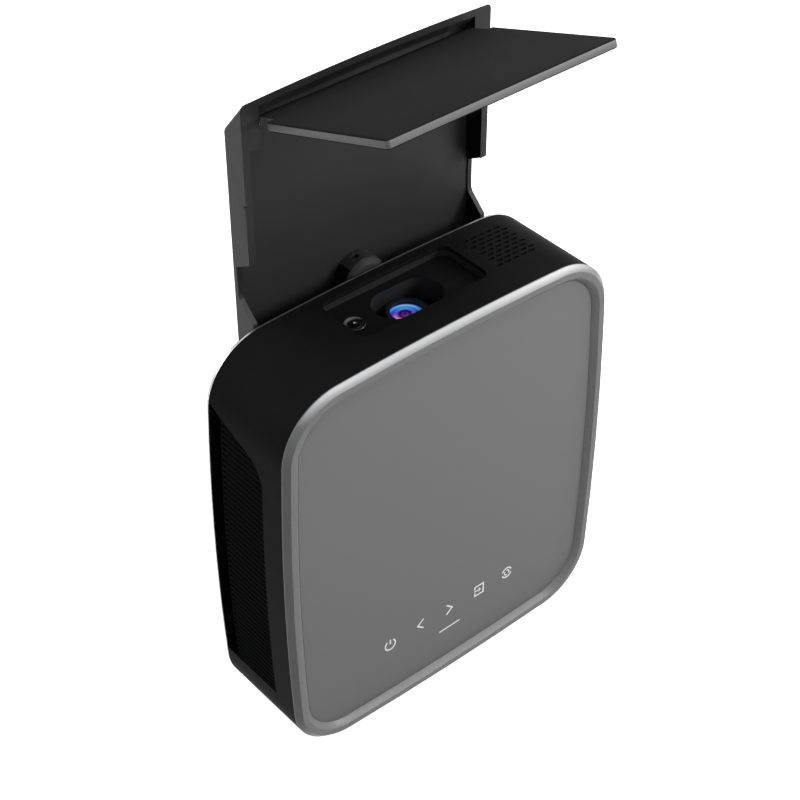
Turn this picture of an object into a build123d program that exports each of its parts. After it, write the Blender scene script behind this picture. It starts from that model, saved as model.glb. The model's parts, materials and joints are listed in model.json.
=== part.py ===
"""Upright portable projector with a slot-side disc drawer and a hinged mirror hood.

Frame: millimetres, +Z up, -Y towards the viewer of the touch panel, origin in
the middle of the plane that the four feet stand on.
"""
from build123d import *
import os
from math import asin, cos, radians, sin, sqrt

# ---------------------------------------------------------------- body
body_width = 180.0
body_height = 200.8
body_depth = 50.5          # from the bezel's outer edge to the rear face
side_bow = 3.7             # how far a side falls back between its middle and its ends
top_bow = 2.85             # the same for the top and the bottom
corner_radius = 29.5
wall = 2.2
foot_stand = 1.6           # height of the bowed bottom's lowest line above the table
seam = 0.15                # gap all round a piece that is let into another

# ---------------------------------------------------------------- bezel and touch panel
bezel_rise = 2.5           # bezel front ahead of the body's edge
bezel_bevel = 2.45         # outer slope
bezel_flat = 2.9           # flat band between the outer and the inner slope
bezel_band = 0.5           # straight silver edge behind the outer slope
spigot_depth = 2.5         # how far the bezel reaches into the shell
panel_thickness = 1.6
panel_ledge = 3.0          # width of the ledge behind the panel's edge

# ---------------------------------------------------------------- rear cover
trim_depth = 0.8           # bright line round the rear edge
cover_plate = 0.8          # part of the cover that shows behind the trim
cover_plug = 1.6           # part of the cover inside the trim
cover_edge = 0.3           # step from the trim to the cover's edge
post_radius = 3.6
screw_radius = 1.5
screw_head_radius = 2.8
screw_head_depth = 1.8
tower_inset = 5.4          # tower axis to the outside of the corner
boss_reach = 4.0           # how far the hood screws' bosses stand inside the cover

# ---------------------------------------------------------------- left vent
vent_front = 13.0          # behind the body's front edge
vent_foot = 33.9           # lower edge above the body's lowest line
vent_drop = 24.8           # upper edge below the body's crown, at the rear
vent_slope = 0.38          # how steeply the upper edge falls towards the front
vent_corner = 15.0
vent_skin = 2.0
vent_inset = 0.6           # face of the vent below the side's face
slat_pitch = 2.95
slat_gap = 1.7
slat_end = 40.5            # end of the slots, behind the body's front edge
vent_margin = 1.0

# ---------------------------------------------------------------- top bay with the lens
bay_width = 68.0
bay_rear_margin = 6.0      # left of the top behind the bay
bay_corner = 4.5
bay_front = 15.0           # behind the body's front edge
bay_floor_depth = 5.4      # below the crown of the body
bay_skin = 2.5
floor_skin = 1.8
lens_x = 1.4
lens_offset = 0.25         # lens axis behind the bay's middle
pocket_width = 34.0
pocket_length = 20.0
pocket_skin = 1.4
pocket_depth = 16.4        # below the crown
sensor_x = -26.8
sensor_radius = 3.2
sensor_ring = 4.6
sensor_body = 3.0

# ---------------------------------------------------------------- speaker
speaker_from_bay = 18.0
speaker_offset = -0.75     # from the bay's middle
grille_width = 26.0
grille_length = 30.0
grille_rows = 9
grille_row_pitch = 2.75
grille_columns = 5
grille_column_pitch = 4.5
grille_slot = 3.2
grille_slot_width = 1.2
driver_radius = 12.5
driver_depth = 10.0
box_width = 28.0
box_height = 26.0
box_drop = 7.4             # box's rim below the crown
cone_rim = 6.0

# ---------------------------------------------------------------- chassis and boards
chassis_back = 17.6        # rear face of the chassis plate behind the front edge
chassis_plate_thickness = 1.2
plate_gap = 0.5            # between the plate's cut-outs and what stands in them
bay_end_gap = 10.5         # from the bay's tub to the plate on its left
speaker_end_gap = 4.0
cable_slot_length = 16.0
cable_slot_width = 9.0
board_thickness = 1.6
board_floor = 16.4         # main board's lower edge above the body's lowest line
main_board_lift = 16.8
main_board_width = 98.0
main_board_left = -32.0
power_board_lift = 6.0
power_board_width = 34.0
power_board_left = -70.0
power_board_floor = 18.4
power_board_step = 10.0    # its upper edge below the main board's
board_gap = 2.0            # between the boards and the heat sink
standoff_radius = 2.0
key_spacing = 17.65
key_height = 37.5          # key row above the body's lowest line
key_row_middle = 1.3
key_board_height = 22.0
key_board_thickness = 0.8
key_chip = 6.0
key_chip_height = 0.9
board_hole_margin = 4.0
board_hole = 1.3
processor_side = 17.0
processor_height = 1.2
memory_width = 9.0
memory_length = 12.0
chip_height = 1.0
capacitor_radius = 5.0
capacitor_height = 13.0
coil_side = 14.0
coil_height = 8.0
terminal_width = 22.0
terminal_height = 10.0

# ---------------------------------------------------------------- optics
engine_width = 52.0
engine_height = 32.0
engine_left = -22.0
engine_drop = 48.4         # engine's top below the crown
engine_clear = 3.1         # engine's rear to the inside of the cover
tube_radius = 11.5
tube_height = 30.0
cell_radius = 9.6
cell_gap = 0.3
glass_radius = 8.3
cell_length = 30.5
lens_drop = 11.9           # lens rim below the crown
focus_travel = 1.5
focus_screw_radius = 1.3
focus_screw_offset = 16.5
focus_motor_radius = 4.0
focus_motor_height = 8.0

# ---------------------------------------------------------------- fan and heat sink
fan_size = 40.0
fan_thickness = 12.0
fan_bore = 19.0
fan_drop = 22.0            # fan's middle below the engine's top
fan_clear = 1.1            # fan's edge to the inside of the cover
hub_radius = 9.0
blade_tip = 18.2
blade_count = 7
blade_thickness = 1.1
blade_slant = 42.0
fan_motor_plate = 2.0
fan_pin = 1.0
fan_pin_start = 2.5
fan_hole_spread = 32.0
fan_hole = 1.8
fan_corner = 3.0
strut_width = 3.0
rotor_gap = 0.8
sink_length = 44.0
sink_clear = 1.0           # fins to the hood screws' bosses
sink_base = 3.0
fin_count = 11
fin_thickness = 1.0

# ---------------------------------------------------------------- disc drive
drive_length = 123.9
drive_width = 128.0
drive_depth = 12.8
drive_middle = -8.0
case_skin = 0.8
tray_width = 123.0
tray_depth = 9.6
tray_face = 18.9           # tray front face behind y = 0
drawer_depth = 5.8         # drawer front, from the body's widest line inwards
disc_radius = 60.4
disc_recess = 1.9
tray_skin = 3.5
tray_rim = 3.0
tray_start_gap = 0.7
tray_corner = 3.0
window_side = 15.5
window_start = 15.0
window_end = 63.0
window_screw_side = 4.0
pad_radius = 2.4
pad_side = 18.0
pad_start = 11.5
pad_end = 46.0
pad_lead_side = 22.0
pad_lead_end = 40.0
tray_gap = 0.3             # drawer front to the case's mouth
rail_length = 118.0
rail_height = 3.4
rail_thickness = 1.2
traverse_angle = 45.0
traverse_thickness = 1.0
hub_disc_radius = 7.4
turntable_radius = 12.0
spindle_motor_radius = 13.0
spindle_motor_depth = 3.8
rod_radius = 1.0
rod_spread = 12.0
rod_start = 14.5
rod_end = 66.0
rod_lift = 1.6             # rods' middle above the traverse plate
screw_end = 63.0
holder = 2.2
holder_side = 1.8
holder_rise = 1.3
traverse_margin = 16.0     # plate behind the turntable's middle
traverse_low = 21.0
traverse_high = 24.5
pickup_start = 24.0
pickup_length = 13.0
pickup_edge = 2.2          # how far the sled reaches past its rods
pickup_rise = 1.9          # its face above the rods' middle
pickup_gap = 0.4
pickup_lens_radius = 2.2
pickup_well_radius = 3.4
pickup_well = 1.0
lead_screw_radius = 1.0
lead_screw_spread = 16.5
sled_motor_radius = 2.5
sled_motor_length = 10.0
button_travel = 0.8
button_width = 7.6
button_height = 2.6
button_drop = 38.0

# ---------------------------------------------------------------- hood
hood_width = 124.9
hood_depth = 11.0
hood_wall = 3.3
hood_plate = 1.6
hood_rise = 101.4          # crown of the hood above the body's crown
hood_fall = 13.4           # how far its top slopes down to the rear
hood_lap = 60.4            # how far it reaches down behind the body
hood_corner = 2.4
hood_lip = 3.1             # height of the top wall's front edge
notch_rise = 28.6          # top of the finger notch above the body's crown
notch_slope = 5.0
notch_sill = 8.1           # lower end of its straight part
notch_rim = 0.6            # low rim left along the plate in the notch
notch_bend = 5.0           # round where the gusset leaves the rim
gusset_wall = 2.2
notch_sink = 0.2           # where the gusset under the notch meets the body, below the crown
boss_x = -3.0
boss_chamfer = 2.2
boss_drop = 6.2            # below the crown
boss_radius = 10.5
grub_radius = 1.2
grub_length = 5.0
hood_screw_x = 50.0
hood_screw_drops = (48.4, 16.4)

# ---------------------------------------------------------------- flap and hinge
flap_rise = 19.2           # degrees above level as photographed
flap_thickness = 4.0
flap_reach = 82.9          # hinge axis to front edge
flap_neck = 11.5           # hinge axis to the shoulders
flap_neck_half = 53.4
flap_shoulder_half = 56.5
flap_front_half = 55.5
flap_edge_round = 0.6
hinge_rise = 89.26         # hinge axis above the body's crown
hinge_block_below = 10.86
hinge_block_above = 2.24
pin_radius = 1.25
pin_gap = 0.05
pin_grip = 8.0
mirror_width = 104.0
mirror_start = 16.0
mirror_length = 65.0
mirror_thickness = 1.1
mirror_recess = 1.2

# ---------------------------------------------------------------- rear air slots
intake_height = 86.4       # above the body's lowest line
intake_pitch = 5.5
intake_length = 24.0
intake_width = 2.2
intake_columns = 18
intake_bridge = 4.0

# ---------------------------------------------------------------- feet, sockets, thread
foot_radius = 6.0
foot_x = 45.0
foot_y = 15.0
foot_recess = 1.0
thread_radius = 2.6
insert_radius = 4.5
insert_length = 9.0
socket_height = 38.4       # above the body's lowest line

# ---------------------------------------------------------------- worked-out places
crown = body_height / 2
middle = foot_stand + crown
front_y = (bezel_rise - body_depth) / 2
rear_y = front_y + body_depth
bezel_front = front_y - bezel_rise
shell_front = front_y + bezel_band
shell_rear = rear_y - cover_plate - trim_depth
panel_back = front_y + panel_thickness
cover_inside = rear_y - cover_plate - cover_plug
chassis_rear = front_y + chassis_back
chassis_front = chassis_rear - chassis_plate_thickness
corner_x = body_width / 2 - side_bow
corner_z = body_height / 2 - top_bow
side_radius = (corner_z ** 2 + side_bow ** 2) / (2 * side_bow)
top_radius = (corner_x ** 2 + top_bow ** 2) / (2 * top_bow)
bay_length = body_depth - bay_front - bay_rear_margin
bay_y = front_y + bay_front + bay_length / 2
lens_y = bay_y + lens_offset
lens_z = middle + crown - lens_drop
floor_z = middle + crown - bay_floor_depth
speaker_x = bay_width / 2 + speaker_from_bay
speaker_y = bay_y + speaker_offset
vent_bottom = vent_foot - crown
vent_top = crown - vent_drop
engine_z = crown - engine_drop - engine_height / 2
engine_top = middle + crown - engine_drop
fan_z = crown - engine_drop - fan_drop
fan_y = cover_inside - fan_clear - fan_size / 2
sink_left = engine_left - sink_length
fan_left = sink_left - fan_thickness
tray_end = body_width / 2 - drawer_depth
drive_left = tray_end - tray_gap - drive_length
drive_back = chassis_front
drive_front = drive_back - drive_depth
drive_z = middle + drive_middle
disc_x = tray_end - 1.0 - disc_radius
hood_top = crown + hood_rise
hood_bottom = crown - hood_lap
notch_top = crown + notch_rise
notch_bottom = crown + notch_sill
boss_z = crown - boss_drop
hinge_height = crown + hinge_rise
hinge_block_bottom = hinge_height - hinge_block_below
hinge_block_top = hinge_height + hinge_block_above
socket_z = socket_height - crown
key_z = key_height - crown
hood_front = rear_y
hood_rear = rear_y + hood_depth
plate_front = hood_rear - hood_plate
hinge_y = rear_y + flap_thickness / 2
hinge_z = middle + hinge_height
hood_inner = hood_width / 2 - hood_wall


def corner_point(inset):
    """Where the side's arc and the top's arc meet when both are drawn inwards by inset."""
    x = corner_x
    z = corner_z
    for _ in range(6):
        x = body_width / 2 - side_radius + sqrt((side_radius - inset) ** 2 - z ** 2)
        z = body_height / 2 - top_radius + sqrt((top_radius - inset) ** 2 - x ** 2)
    return x, z


def tower_centres():
    """Centres of the four corner towers, on the corners' diagonals."""
    x, z = corner_point(corner_radius)
    step = (corner_radius - tower_inset) * cos(radians(45))
    return [(sx * (x + step), sz * (z + step)) for sx in (-1, 1) for sz in (-1, 1)]


towers = tower_centres()


def facing_front(y):
    """Upright plane at depth y, seen from the front, centred on the body."""
    return Plane(origin=(0, y, middle), x_dir=(1, 0, 0), z_dir=(0, -1, 0))


def level(z):
    return Plane.XY.offset(z)


def body_outline(y, inset=0.0):
    """Front outline at depth y: four bowed sides and four round corners, drawn inwards by inset."""
    x, z = corner_point(inset)
    side = body_width / 2 - inset
    top = body_height / 2 - inset
    with BuildSketch(facing_front(y)) as outline:
        with BuildLine():
            ThreePointArc((-x, z), (0, top), (x, z))
            ThreePointArc((x, z), (side, 0), (x, -z))
            ThreePointArc((x, -z), (0, -top), (-x, -z))
            ThreePointArc((-x, -z), (-side, 0), (-x, z))
        make_face()
        fillet(outline.vertices(), corner_radius - inset)
    return outline.sketch


def outline_block(inset, y_from, y_to, mode=Mode.ADD):
    """Slab of the body's outline between two depths."""
    extrude(body_outline(y_from, inset), amount=y_from - y_to, mode=mode)


def upright_rectangle(x, z, width, height, y_from, y_to, mode=Mode.ADD, corner=0.0):
    """Block seen from the front, placed from the body's middle."""
    with BuildSketch(facing_front(y_from)) as face:
        with Locations((x, z)):
            if corner:
                RectangleRounded(width, height, corner)
            else:
                Rectangle(width, height)
    extrude(face.sketch, amount=y_from - y_to, mode=mode)


def upright_circles(places, radius, y_from, y_to, mode=Mode.ADD):
    """Round posts or holes along Y."""
    with BuildSketch(facing_front(y_from)) as face:
        with Locations(*places):
            Circle(radius)
    extrude(face.sketch, amount=y_from - y_to, mode=mode)


def keep_inside(inset, y_from, y_to):
    """Trim the part to the body's outline, drawn inwards by inset."""
    outline_block(inset, y_from, y_to, Mode.INTERSECT)


def save(piece, name):
    piece.part.label = name
    export_step(piece.part, f"parts/{name}.step")


os.makedirs("parts", exist_ok=True)

# ================================================================ front bezel
with BuildPart() as front_bezel:
    outline_block(0, bezel_front, shell_front)
    chamfer(faces().filter_by(Axis.Y).sort_by(Axis.Y)[0].edges(), bezel_bevel)
    outline_block(wall + seam, shell_front, shell_front + spigot_depth)
    window = bezel_bevel + bezel_flat + bezel_rise
    outline_block(window, bezel_front, panel_back, Mode.SUBTRACT)
    inner_front = faces().filter_by(Axis.Y).sort_by(Axis.Y)[0].inner_wires()[0]
    chamfer(inner_front.edges(), bezel_rise)
    outline_block(window + panel_ledge, panel_back, shell_front + spigot_depth, Mode.SUBTRACT)
save(front_bezel, "front_bezel")

# ================================================================ touch panel
with BuildPart() as front_panel:
    outline_block(window + seam, front_y, panel_back)
save(front_panel, "front_panel")

# ================================================================ touch key board
key_board_back = panel_back + key_board_thickness
with BuildPart() as touch_board:
    upright_rectangle(key_row_middle, key_z, 6 * key_spacing, key_board_height, panel_back, key_board_back)
    upright_rectangle(key_row_middle - 2.5 * key_spacing, key_z, key_chip, key_chip,
                      key_board_back, key_board_back + key_chip_height)
save(touch_board, "touch_board")

# ================================================================ main shell
vent_y = front_y + vent_front


def vent_shape(gap, y_end):
    """Side view of the vent opening: square below, with a sloping top and a large round at its front."""
    y0 = vent_y + gap
    z0 = middle + vent_bottom + gap
    z1 = middle + vent_top - gap
    z_front = z1 - vent_slope * (rear_y - y0)
    with BuildSketch(Plane.YZ.offset(-body_width / 2 - 2)) as side:
        with BuildLine():
            Polyline((y_end, z1), (y_end, z0), (y0, z0), (y0, z_front), close=True)
        make_face()
        fillet(side.vertices().group_by(Axis.X)[0].sort_by(Axis.Y)[-1], vent_corner - gap)
    return side.sketch


def drawer_opening(gap, mode):
    """Slot for the drawer front through the right side."""
    with BuildSketch(Plane.YZ.offset(tray_end)) as side:
        with Locations(((drive_front + drive_back) / 2, drive_z)):
            RectangleRounded(drive_depth + 2 * gap, drive_width + 2 * gap, 1.0)
    extrude(side.sketch, amount=body_width / 2 - tray_end + 1, mode=mode)


with BuildPart() as main_shell:
    outline_block(0, shell_front, shell_rear)
    outline_block(wall, shell_front, shell_rear, Mode.SUBTRACT)
    # towers that the chassis plate and the rear cover are screwed to
    upright_circles(towers, post_radius + 0.6, shell_front + spigot_depth + seam, chassis_front)
    keep_inside(0, shell_front, shell_rear)
    upright_circles(towers, screw_radius + 0.05, chassis_front - 8, chassis_front, Mode.SUBTRACT)
    # opening for the bay over the lens
    with BuildSketch(level(middle + crown - 8)):
        with Locations((0, bay_y)):
            RectangleRounded(bay_width, bay_length, bay_corner)
        with Locations((speaker_x, speaker_y)):
            RectangleRounded(grille_width, grille_length, 3.0)
    extrude(amount=12, mode=Mode.SUBTRACT)
    # left vent, open to the rear edge
    extrude(vent_shape(0, shell_rear + 1), amount=8, mode=Mode.SUBTRACT)
    drawer_opening(0.25, Mode.SUBTRACT)
    # boss for the stand thread, and round seats for the feet
    with BuildSketch(level(foot_stand + 0.4)):
        Circle(insert_radius + 2.0)
    extrude(amount=insert_length + 2.0)
    with BuildSketch(level(0)):
        Circle(insert_radius)
    extrude(amount=foot_stand + insert_length + 0.4, mode=Mode.SUBTRACT)
    foot_seat = foot_stand + foot_recess + (foot_x + foot_radius) ** 2 / (2 * top_radius)
    with BuildSketch(level(0)):
        with GridLocations(2 * foot_x, 2 * foot_y, 2, 2):
            Circle(foot_radius + seam)
    extrude(amount=foot_seat, mode=Mode.SUBTRACT)
save(main_shell, "main_shell")

# ================================================================ feet
with BuildPart() as rubber_feet:
    with BuildSketch(level(0)):
        with GridLocations(2 * foot_x, 2 * foot_y, 2, 2):
            Circle(foot_radius)
    extrude(amount=foot_seat)
    chamfer(edges().filter_by(GeomType.CIRCLE).group_by(Axis.Z)[0], 0.6)
save(rubber_feet, "rubber_feet")

# ================================================================ stand thread
with BuildPart() as stand_insert:
    with BuildSketch(level(foot_stand + 0.4)):
        Circle(insert_radius)
        Circle(thread_radius, mode=Mode.SUBTRACT)
    extrude(amount=insert_length)
save(stand_insert, "stand_insert")

# ================================================================ left vent
slot_rows = int((vent_top - vent_bottom) / slat_pitch)
slot_y = (vent_y + front_y + slat_end) / 2
with BuildPart() as vent_slots:
    with BuildSketch(Plane.YZ.offset(-body_width / 2 - 2)):
        for row in range(slot_rows):
            with Locations((slot_y, middle + vent_bottom + vent_margin + slat_gap / 2 + row * slat_pitch)):
                Rectangle(slat_end - vent_front, slat_gap)
    extrude(amount=12)
    extrude(vent_shape(vent_margin, shell_rear), amount=12, mode=Mode.INTERSECT)

with BuildPart() as left_vent:
    outline_block(vent_inset, shell_front, shell_rear)
    outline_block(vent_inset + vent_skin, shell_front, shell_rear, Mode.SUBTRACT)
    extrude(vent_shape(seam, shell_rear), amount=12, mode=Mode.INTERSECT)
    add(vent_slots.part, mode=Mode.SUBTRACT)
save(left_vent, "left_vent")

# ================================================================ top bay
sensor_y = lens_y
pocket_floor = middle + crown - pocket_depth
with BuildPart() as top_bay:
    with BuildSketch(level(floor_z - floor_skin)):
        with Locations((0, bay_y)):
            RectangleRounded(bay_width + 2 * bay_skin, bay_length + 2 * bay_skin, bay_corner + bay_skin)
    extrude(amount=12)
    keep_inside(wall, shell_front, shell_rear)
    with BuildSketch(level(floor_z)):
        with Locations((0, bay_y)):
            RectangleRounded(bay_width, bay_length, bay_corner)
    extrude(amount=12, mode=Mode.SUBTRACT)
    with BuildSketch(level(pocket_floor)):
        with Locations((lens_x, lens_y)):
            SlotOverall(pocket_width + 2 * pocket_skin, pocket_length + 2 * pocket_skin)
    extrude(until=Until.NEXT)
    with BuildSketch(level(pocket_floor - 1)):
        with Locations((lens_x, lens_y)):
            SlotOverall(pocket_width, pocket_length)
        with Locations((sensor_x, sensor_y)):
            Circle(sensor_radius + 0.05)
    extrude(amount=14, mode=Mode.SUBTRACT)
save(top_bay, "top_bay")

# ================================================================ remote receiver
with BuildPart() as sensor_bezel:
    with BuildSketch(level(floor_z)):
        with Locations((sensor_x, sensor_y)):
            Circle(sensor_ring)
            Circle(sensor_radius + 0.05, mode=Mode.SUBTRACT)
    extrude(amount=0.7)
    chamfer(faces().sort_by(Axis.Z)[-1].edges().sort_by(SortBy.RADIUS)[-1], 0.3)
save(sensor_bezel, "sensor_bezel")


def domed_disc(x, y, foot, radius, edge, crown):
    """Round disc on an upright axis, flat below and domed above."""
    ball = (radius ** 2 + (crown - edge) ** 2) / (2 * (crown - edge))
    half_turn = asin(radius / ball) / 2
    with BuildSketch(Plane(origin=(x, y, foot), x_dir=(1, 0, 0), z_dir=(0, -1, 0))) as section:
        with BuildLine():
            Polyline((0, crown), (0, 0), (radius, 0), (radius, edge))
            ThreePointArc((radius, edge), (ball * sin(half_turn), crown - ball * (1 - cos(half_turn))),
                          (0, crown))
        make_face()
    revolve(section.sketch, axis=Axis((x, y, 0), (0, 0, 1)))


with BuildPart() as sensor_lens:
    domed_disc(sensor_x, sensor_y, floor_z - sensor_body, sensor_radius, sensor_body + 0.2, sensor_body + 0.9)
save(sensor_lens, "sensor_lens")

# ================================================================ speaker
with BuildPart() as speaker_grille:
    with BuildSketch(level(middle + crown - 8)):
        with Locations((speaker_x, speaker_y)):
            RectangleRounded(grille_width - 0.02, grille_length - 0.02, 3.0)
    extrude(amount=12)
    keep_inside(0, shell_front, shell_rear)
    outline_block(wall, shell_front, shell_rear, Mode.SUBTRACT)
    with BuildSketch(level(middle + crown - 12)):
        for row in range(grille_rows):
            shift = grille_column_pitch / 4 * (1 if row % 2 else -1)
            y = speaker_y + (row - (grille_rows - 1) / 2) * grille_row_pitch
            with Locations((speaker_x + shift, y)):
                with GridLocations(grille_column_pitch, 1, grille_columns, 1):
                    Rectangle(grille_slot, grille_slot_width)
    extrude(amount=14, mode=Mode.SUBTRACT)
save(speaker_grille, "speaker_grille")

box_z = middle + crown - box_drop
with BuildPart() as speaker_box:
    with BuildSketch(level(box_z - box_height)):
        with Locations((speaker_x, speaker_y)):
            RectangleRounded(box_width, box_width, 2.5)
    extrude(amount=box_height)
    with BuildSketch(level(box_z - box_height + 1.6)):
        with Locations((speaker_x, speaker_y)):
            RectangleRounded(box_width - 3.2, box_width - 3.2, 1.5)
    extrude(amount=box_height, mode=Mode.SUBTRACT)
save(speaker_box, "speaker_box")

with BuildPart() as speaker_driver:
    with BuildSketch(level(box_z)):
        with Locations((speaker_x, speaker_y)):
            RectangleRounded(box_width, box_width, 2.5)
    extrude(amount=cone_rim)
    keep_inside(wall + seam, shell_front, shell_rear)
    with BuildSketch(level(box_z + 1.0)):
        with Locations((speaker_x, speaker_y)):
            Circle(driver_radius)
    extrude(amount=8, mode=Mode.SUBTRACT)
    with Locations((speaker_x, speaker_y, box_z - driver_depth / 2)):
        Cone(driver_radius * 0.55, driver_radius * 0.94, driver_depth)
    with Locations((speaker_x, speaker_y, box_z - driver_depth - 2.5)):
        Cylinder(driver_radius * 0.62, 5.0)
    with Locations((speaker_x, speaker_y, box_z - driver_depth / 2 + 3.0)):
        Cone(driver_radius * 0.3, driver_radius * 0.82, driver_depth - 4.0, mode=Mode.SUBTRACT)
    with Locations((speaker_x, speaker_y, box_z - driver_depth / 2)):
        Cone(driver_radius * 0.42, driver_radius * 0.2, driver_depth * 0.4)
save(speaker_driver, "speaker_driver")

# ================================================================ chassis plate
with BuildPart() as chassis_plate:
    outline_block(wall + 0.4, chassis_front, chassis_rear)
    # cut away under the bay and the speaker, round the stand boss and beside the fan
    open_left = -bay_width / 2 - bay_skin - bay_end_gap
    open_right = speaker_x + box_width / 2 + speaker_end_gap
    open_bottom = crown - engine_drop + 2 * plate_gap
    upright_rectangle((open_left + open_right) / 2, (open_bottom + crown) / 2, open_right - open_left,
                      crown - open_bottom, chassis_front, chassis_rear, Mode.SUBTRACT)
    boss_cut = insert_length + 14 * plate_gap
    upright_rectangle(0, boss_cut / 2 - crown, boss_cut, boss_cut, chassis_front, chassis_rear, Mode.SUBTRACT)
    fan_cut = body_width / 2 + sink_left + plate_gap
    upright_rectangle(sink_left + plate_gap - fan_cut / 2, fan_z, fan_cut, fan_size + 10 * plate_gap,
                      chassis_front, chassis_rear, Mode.SUBTRACT)
    upright_circles(towers, screw_radius + 0.2, chassis_front, chassis_rear, Mode.SUBTRACT)
    # slots for cables
    tower_x, tower_z = towers[-1]
    with BuildSketch(facing_front(chassis_front)):
        with Locations((1.2 * cable_slot_length - tower_x, -tower_z - plate_gap),
                       (cable_slot_length - tower_x, tower_z - 1.5 * cable_slot_length),
                       (tower_x, tower_z - 1.5 * cable_slot_length)):
            RectangleRounded(cable_slot_length, cable_slot_width, cable_slot_width / 4)
    extrude(amount=-chassis_plate_thickness, mode=Mode.SUBTRACT)
save(chassis_plate, "chassis_plate")

# ================================================================ circuit boards
main_top = fan_z - fan_size / 2 - board_gap
main_w = main_board_width
main_h = main_top + crown - board_floor
main_x = main_board_left + main_w / 2
main_z = main_top - main_h / 2
power_w = power_board_width
power_h = main_top - power_board_step + crown - power_board_floor
power_x = power_board_left + power_w / 2
power_z = main_top - power_board_step - power_h / 2
main_back = chassis_rear + main_board_lift
power_back = chassis_rear + power_board_lift


def corner_holes(x, z, width, height):
    dx = width / 2 - board_hole_margin
    dz = height / 2 - board_hole_margin
    return [(x + sx * dx, z + sz * dz) for sx in (-1, 1) for sz in (-1, 1)]


main_holes = corner_holes(main_x, main_z, main_w, main_h)
power_holes = corner_holes(power_x, power_z, power_w, power_h)

with BuildPart() as board_standoffs:
    upright_circles(main_holes, standoff_radius, chassis_rear, main_back)
    upright_circles(power_holes, standoff_radius, chassis_rear, power_back)
save(board_standoffs, "board_standoffs")

with BuildPart() as main_board:
    upright_rectangle(main_x, main_z, main_w, main_h, main_back, main_back + board_thickness)
    upright_circles(main_holes, board_hole, main_back, main_back + board_thickness, Mode.SUBTRACT)
    # chips on the hidden side: processor, two memories, controller
    chips_z = main_z + main_h / 7
    memory_step = memory_length * 2 / 3
    upright_rectangle(main_x - main_w / 16, chips_z, processor_side, processor_side,
                      main_back - processor_height, main_back)
    for step in (-memory_step, memory_step):
        upright_rectangle(main_x + main_w / 6, chips_z + step, memory_width, memory_length,
                          main_back - chip_height, main_back)
    upright_rectangle(main_x - main_w / 3, chips_z, memory_width, memory_width,
                      main_back - chip_height, main_back)
save(main_board, "main_board")

with BuildPart() as power_board:
    upright_rectangle(power_x, power_z, power_w, power_h, power_back, power_back + board_thickness)
    upright_circles(power_holes, board_hole, power_back, power_back + board_thickness, Mode.SUBTRACT)
    tall = power_back + board_thickness
    # two capacitors, a coil and a terminal block
    capacitor_z = power_z + power_h / 4
    upright_circles([(power_x - power_w / 5, capacitor_z), (power_x + power_w / 5, capacitor_z)],
                    capacitor_radius, tall, tall + capacitor_height)
    upright_rectangle(power_x, power_z - power_h / 20, coil_side, coil_side, tall, tall + coil_height)
    upright_rectangle(power_x, power_z - power_h * 0.3, terminal_width, coil_height,
                      tall, tall + terminal_height)
save(power_board, "power_board")

# ================================================================ sockets in the rear
socket_back = main_back + board_thickness
socket_face = rear_y - 0.3
socket_shoulder = cover_inside - 0.1
hdmi_x = -8.0
usb_x = 14.0
audio_x = 33.0
power_in_x = 50.0
audio_bore = 1.75
audio_bush = 2.9
power_bore = 2.75
power_bush = 4.4
power_pin = 1.05
hdmi_width = 15.0
hdmi_height = 6.0
usb_width = 13.6
usb_height = 6.4
socket_skin = 0.6

with BuildPart() as video_socket:
    upright_rectangle(hdmi_x, socket_z, hdmi_width, hdmi_height, socket_back, socket_face)
    upright_rectangle(hdmi_x, socket_z, hdmi_width - 2 * socket_skin, hdmi_height - 2 * socket_skin,
                      socket_face - 8.0, socket_face, Mode.SUBTRACT)
    upright_rectangle(hdmi_x, socket_z, 11.6, 0.9, socket_face - 8.0, socket_face - 1.0)
save(video_socket, "video_socket")

with BuildPart() as usb_socket:
    upright_rectangle(usb_x, socket_z, usb_width, usb_height, socket_back, socket_face)
    upright_rectangle(usb_x, socket_z, usb_width - 2 * socket_skin, usb_height - 2 * socket_skin,
                      socket_face - 10.0, socket_face, Mode.SUBTRACT)
    upright_rectangle(usb_x, socket_z + 1.2, 11.0, 1.7, socket_face - 10.0, socket_face - 1.2)
save(usb_socket, "usb_socket")

with BuildPart() as audio_socket:
    upright_rectangle(audio_x, socket_z, 8.0, 6.4, socket_back, socket_shoulder)
    upright_circles([(audio_x, socket_z)], audio_bush, socket_shoulder, socket_face)
    upright_circles([(audio_x, socket_z)], audio_bore, socket_face - 12.0, socket_face, Mode.SUBTRACT)
save(audio_socket, "audio_socket")

with BuildPart() as power_socket:
    upright_rectangle(power_in_x, socket_z, 10.0, 9.6, socket_back, socket_shoulder)
    upright_circles([(power_in_x, socket_z)], power_bush, socket_shoulder, socket_face)
    upright_circles([(power_in_x, socket_z)], power_bore, socket_face - 10.0, socket_face, Mode.SUBTRACT)
    upright_circles([(power_in_x, socket_z)], power_pin, socket_face - 10.0, socket_face - 1.5)
save(power_socket, "power_socket")

# ================================================================ rear trim and rear cover
with BuildPart() as rear_trim:
    outline_block(0, shell_rear, shell_rear + trim_depth)
    outline_block(wall, shell_rear, shell_rear + trim_depth, Mode.SUBTRACT)
save(rear_trim, "rear_trim")

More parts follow.
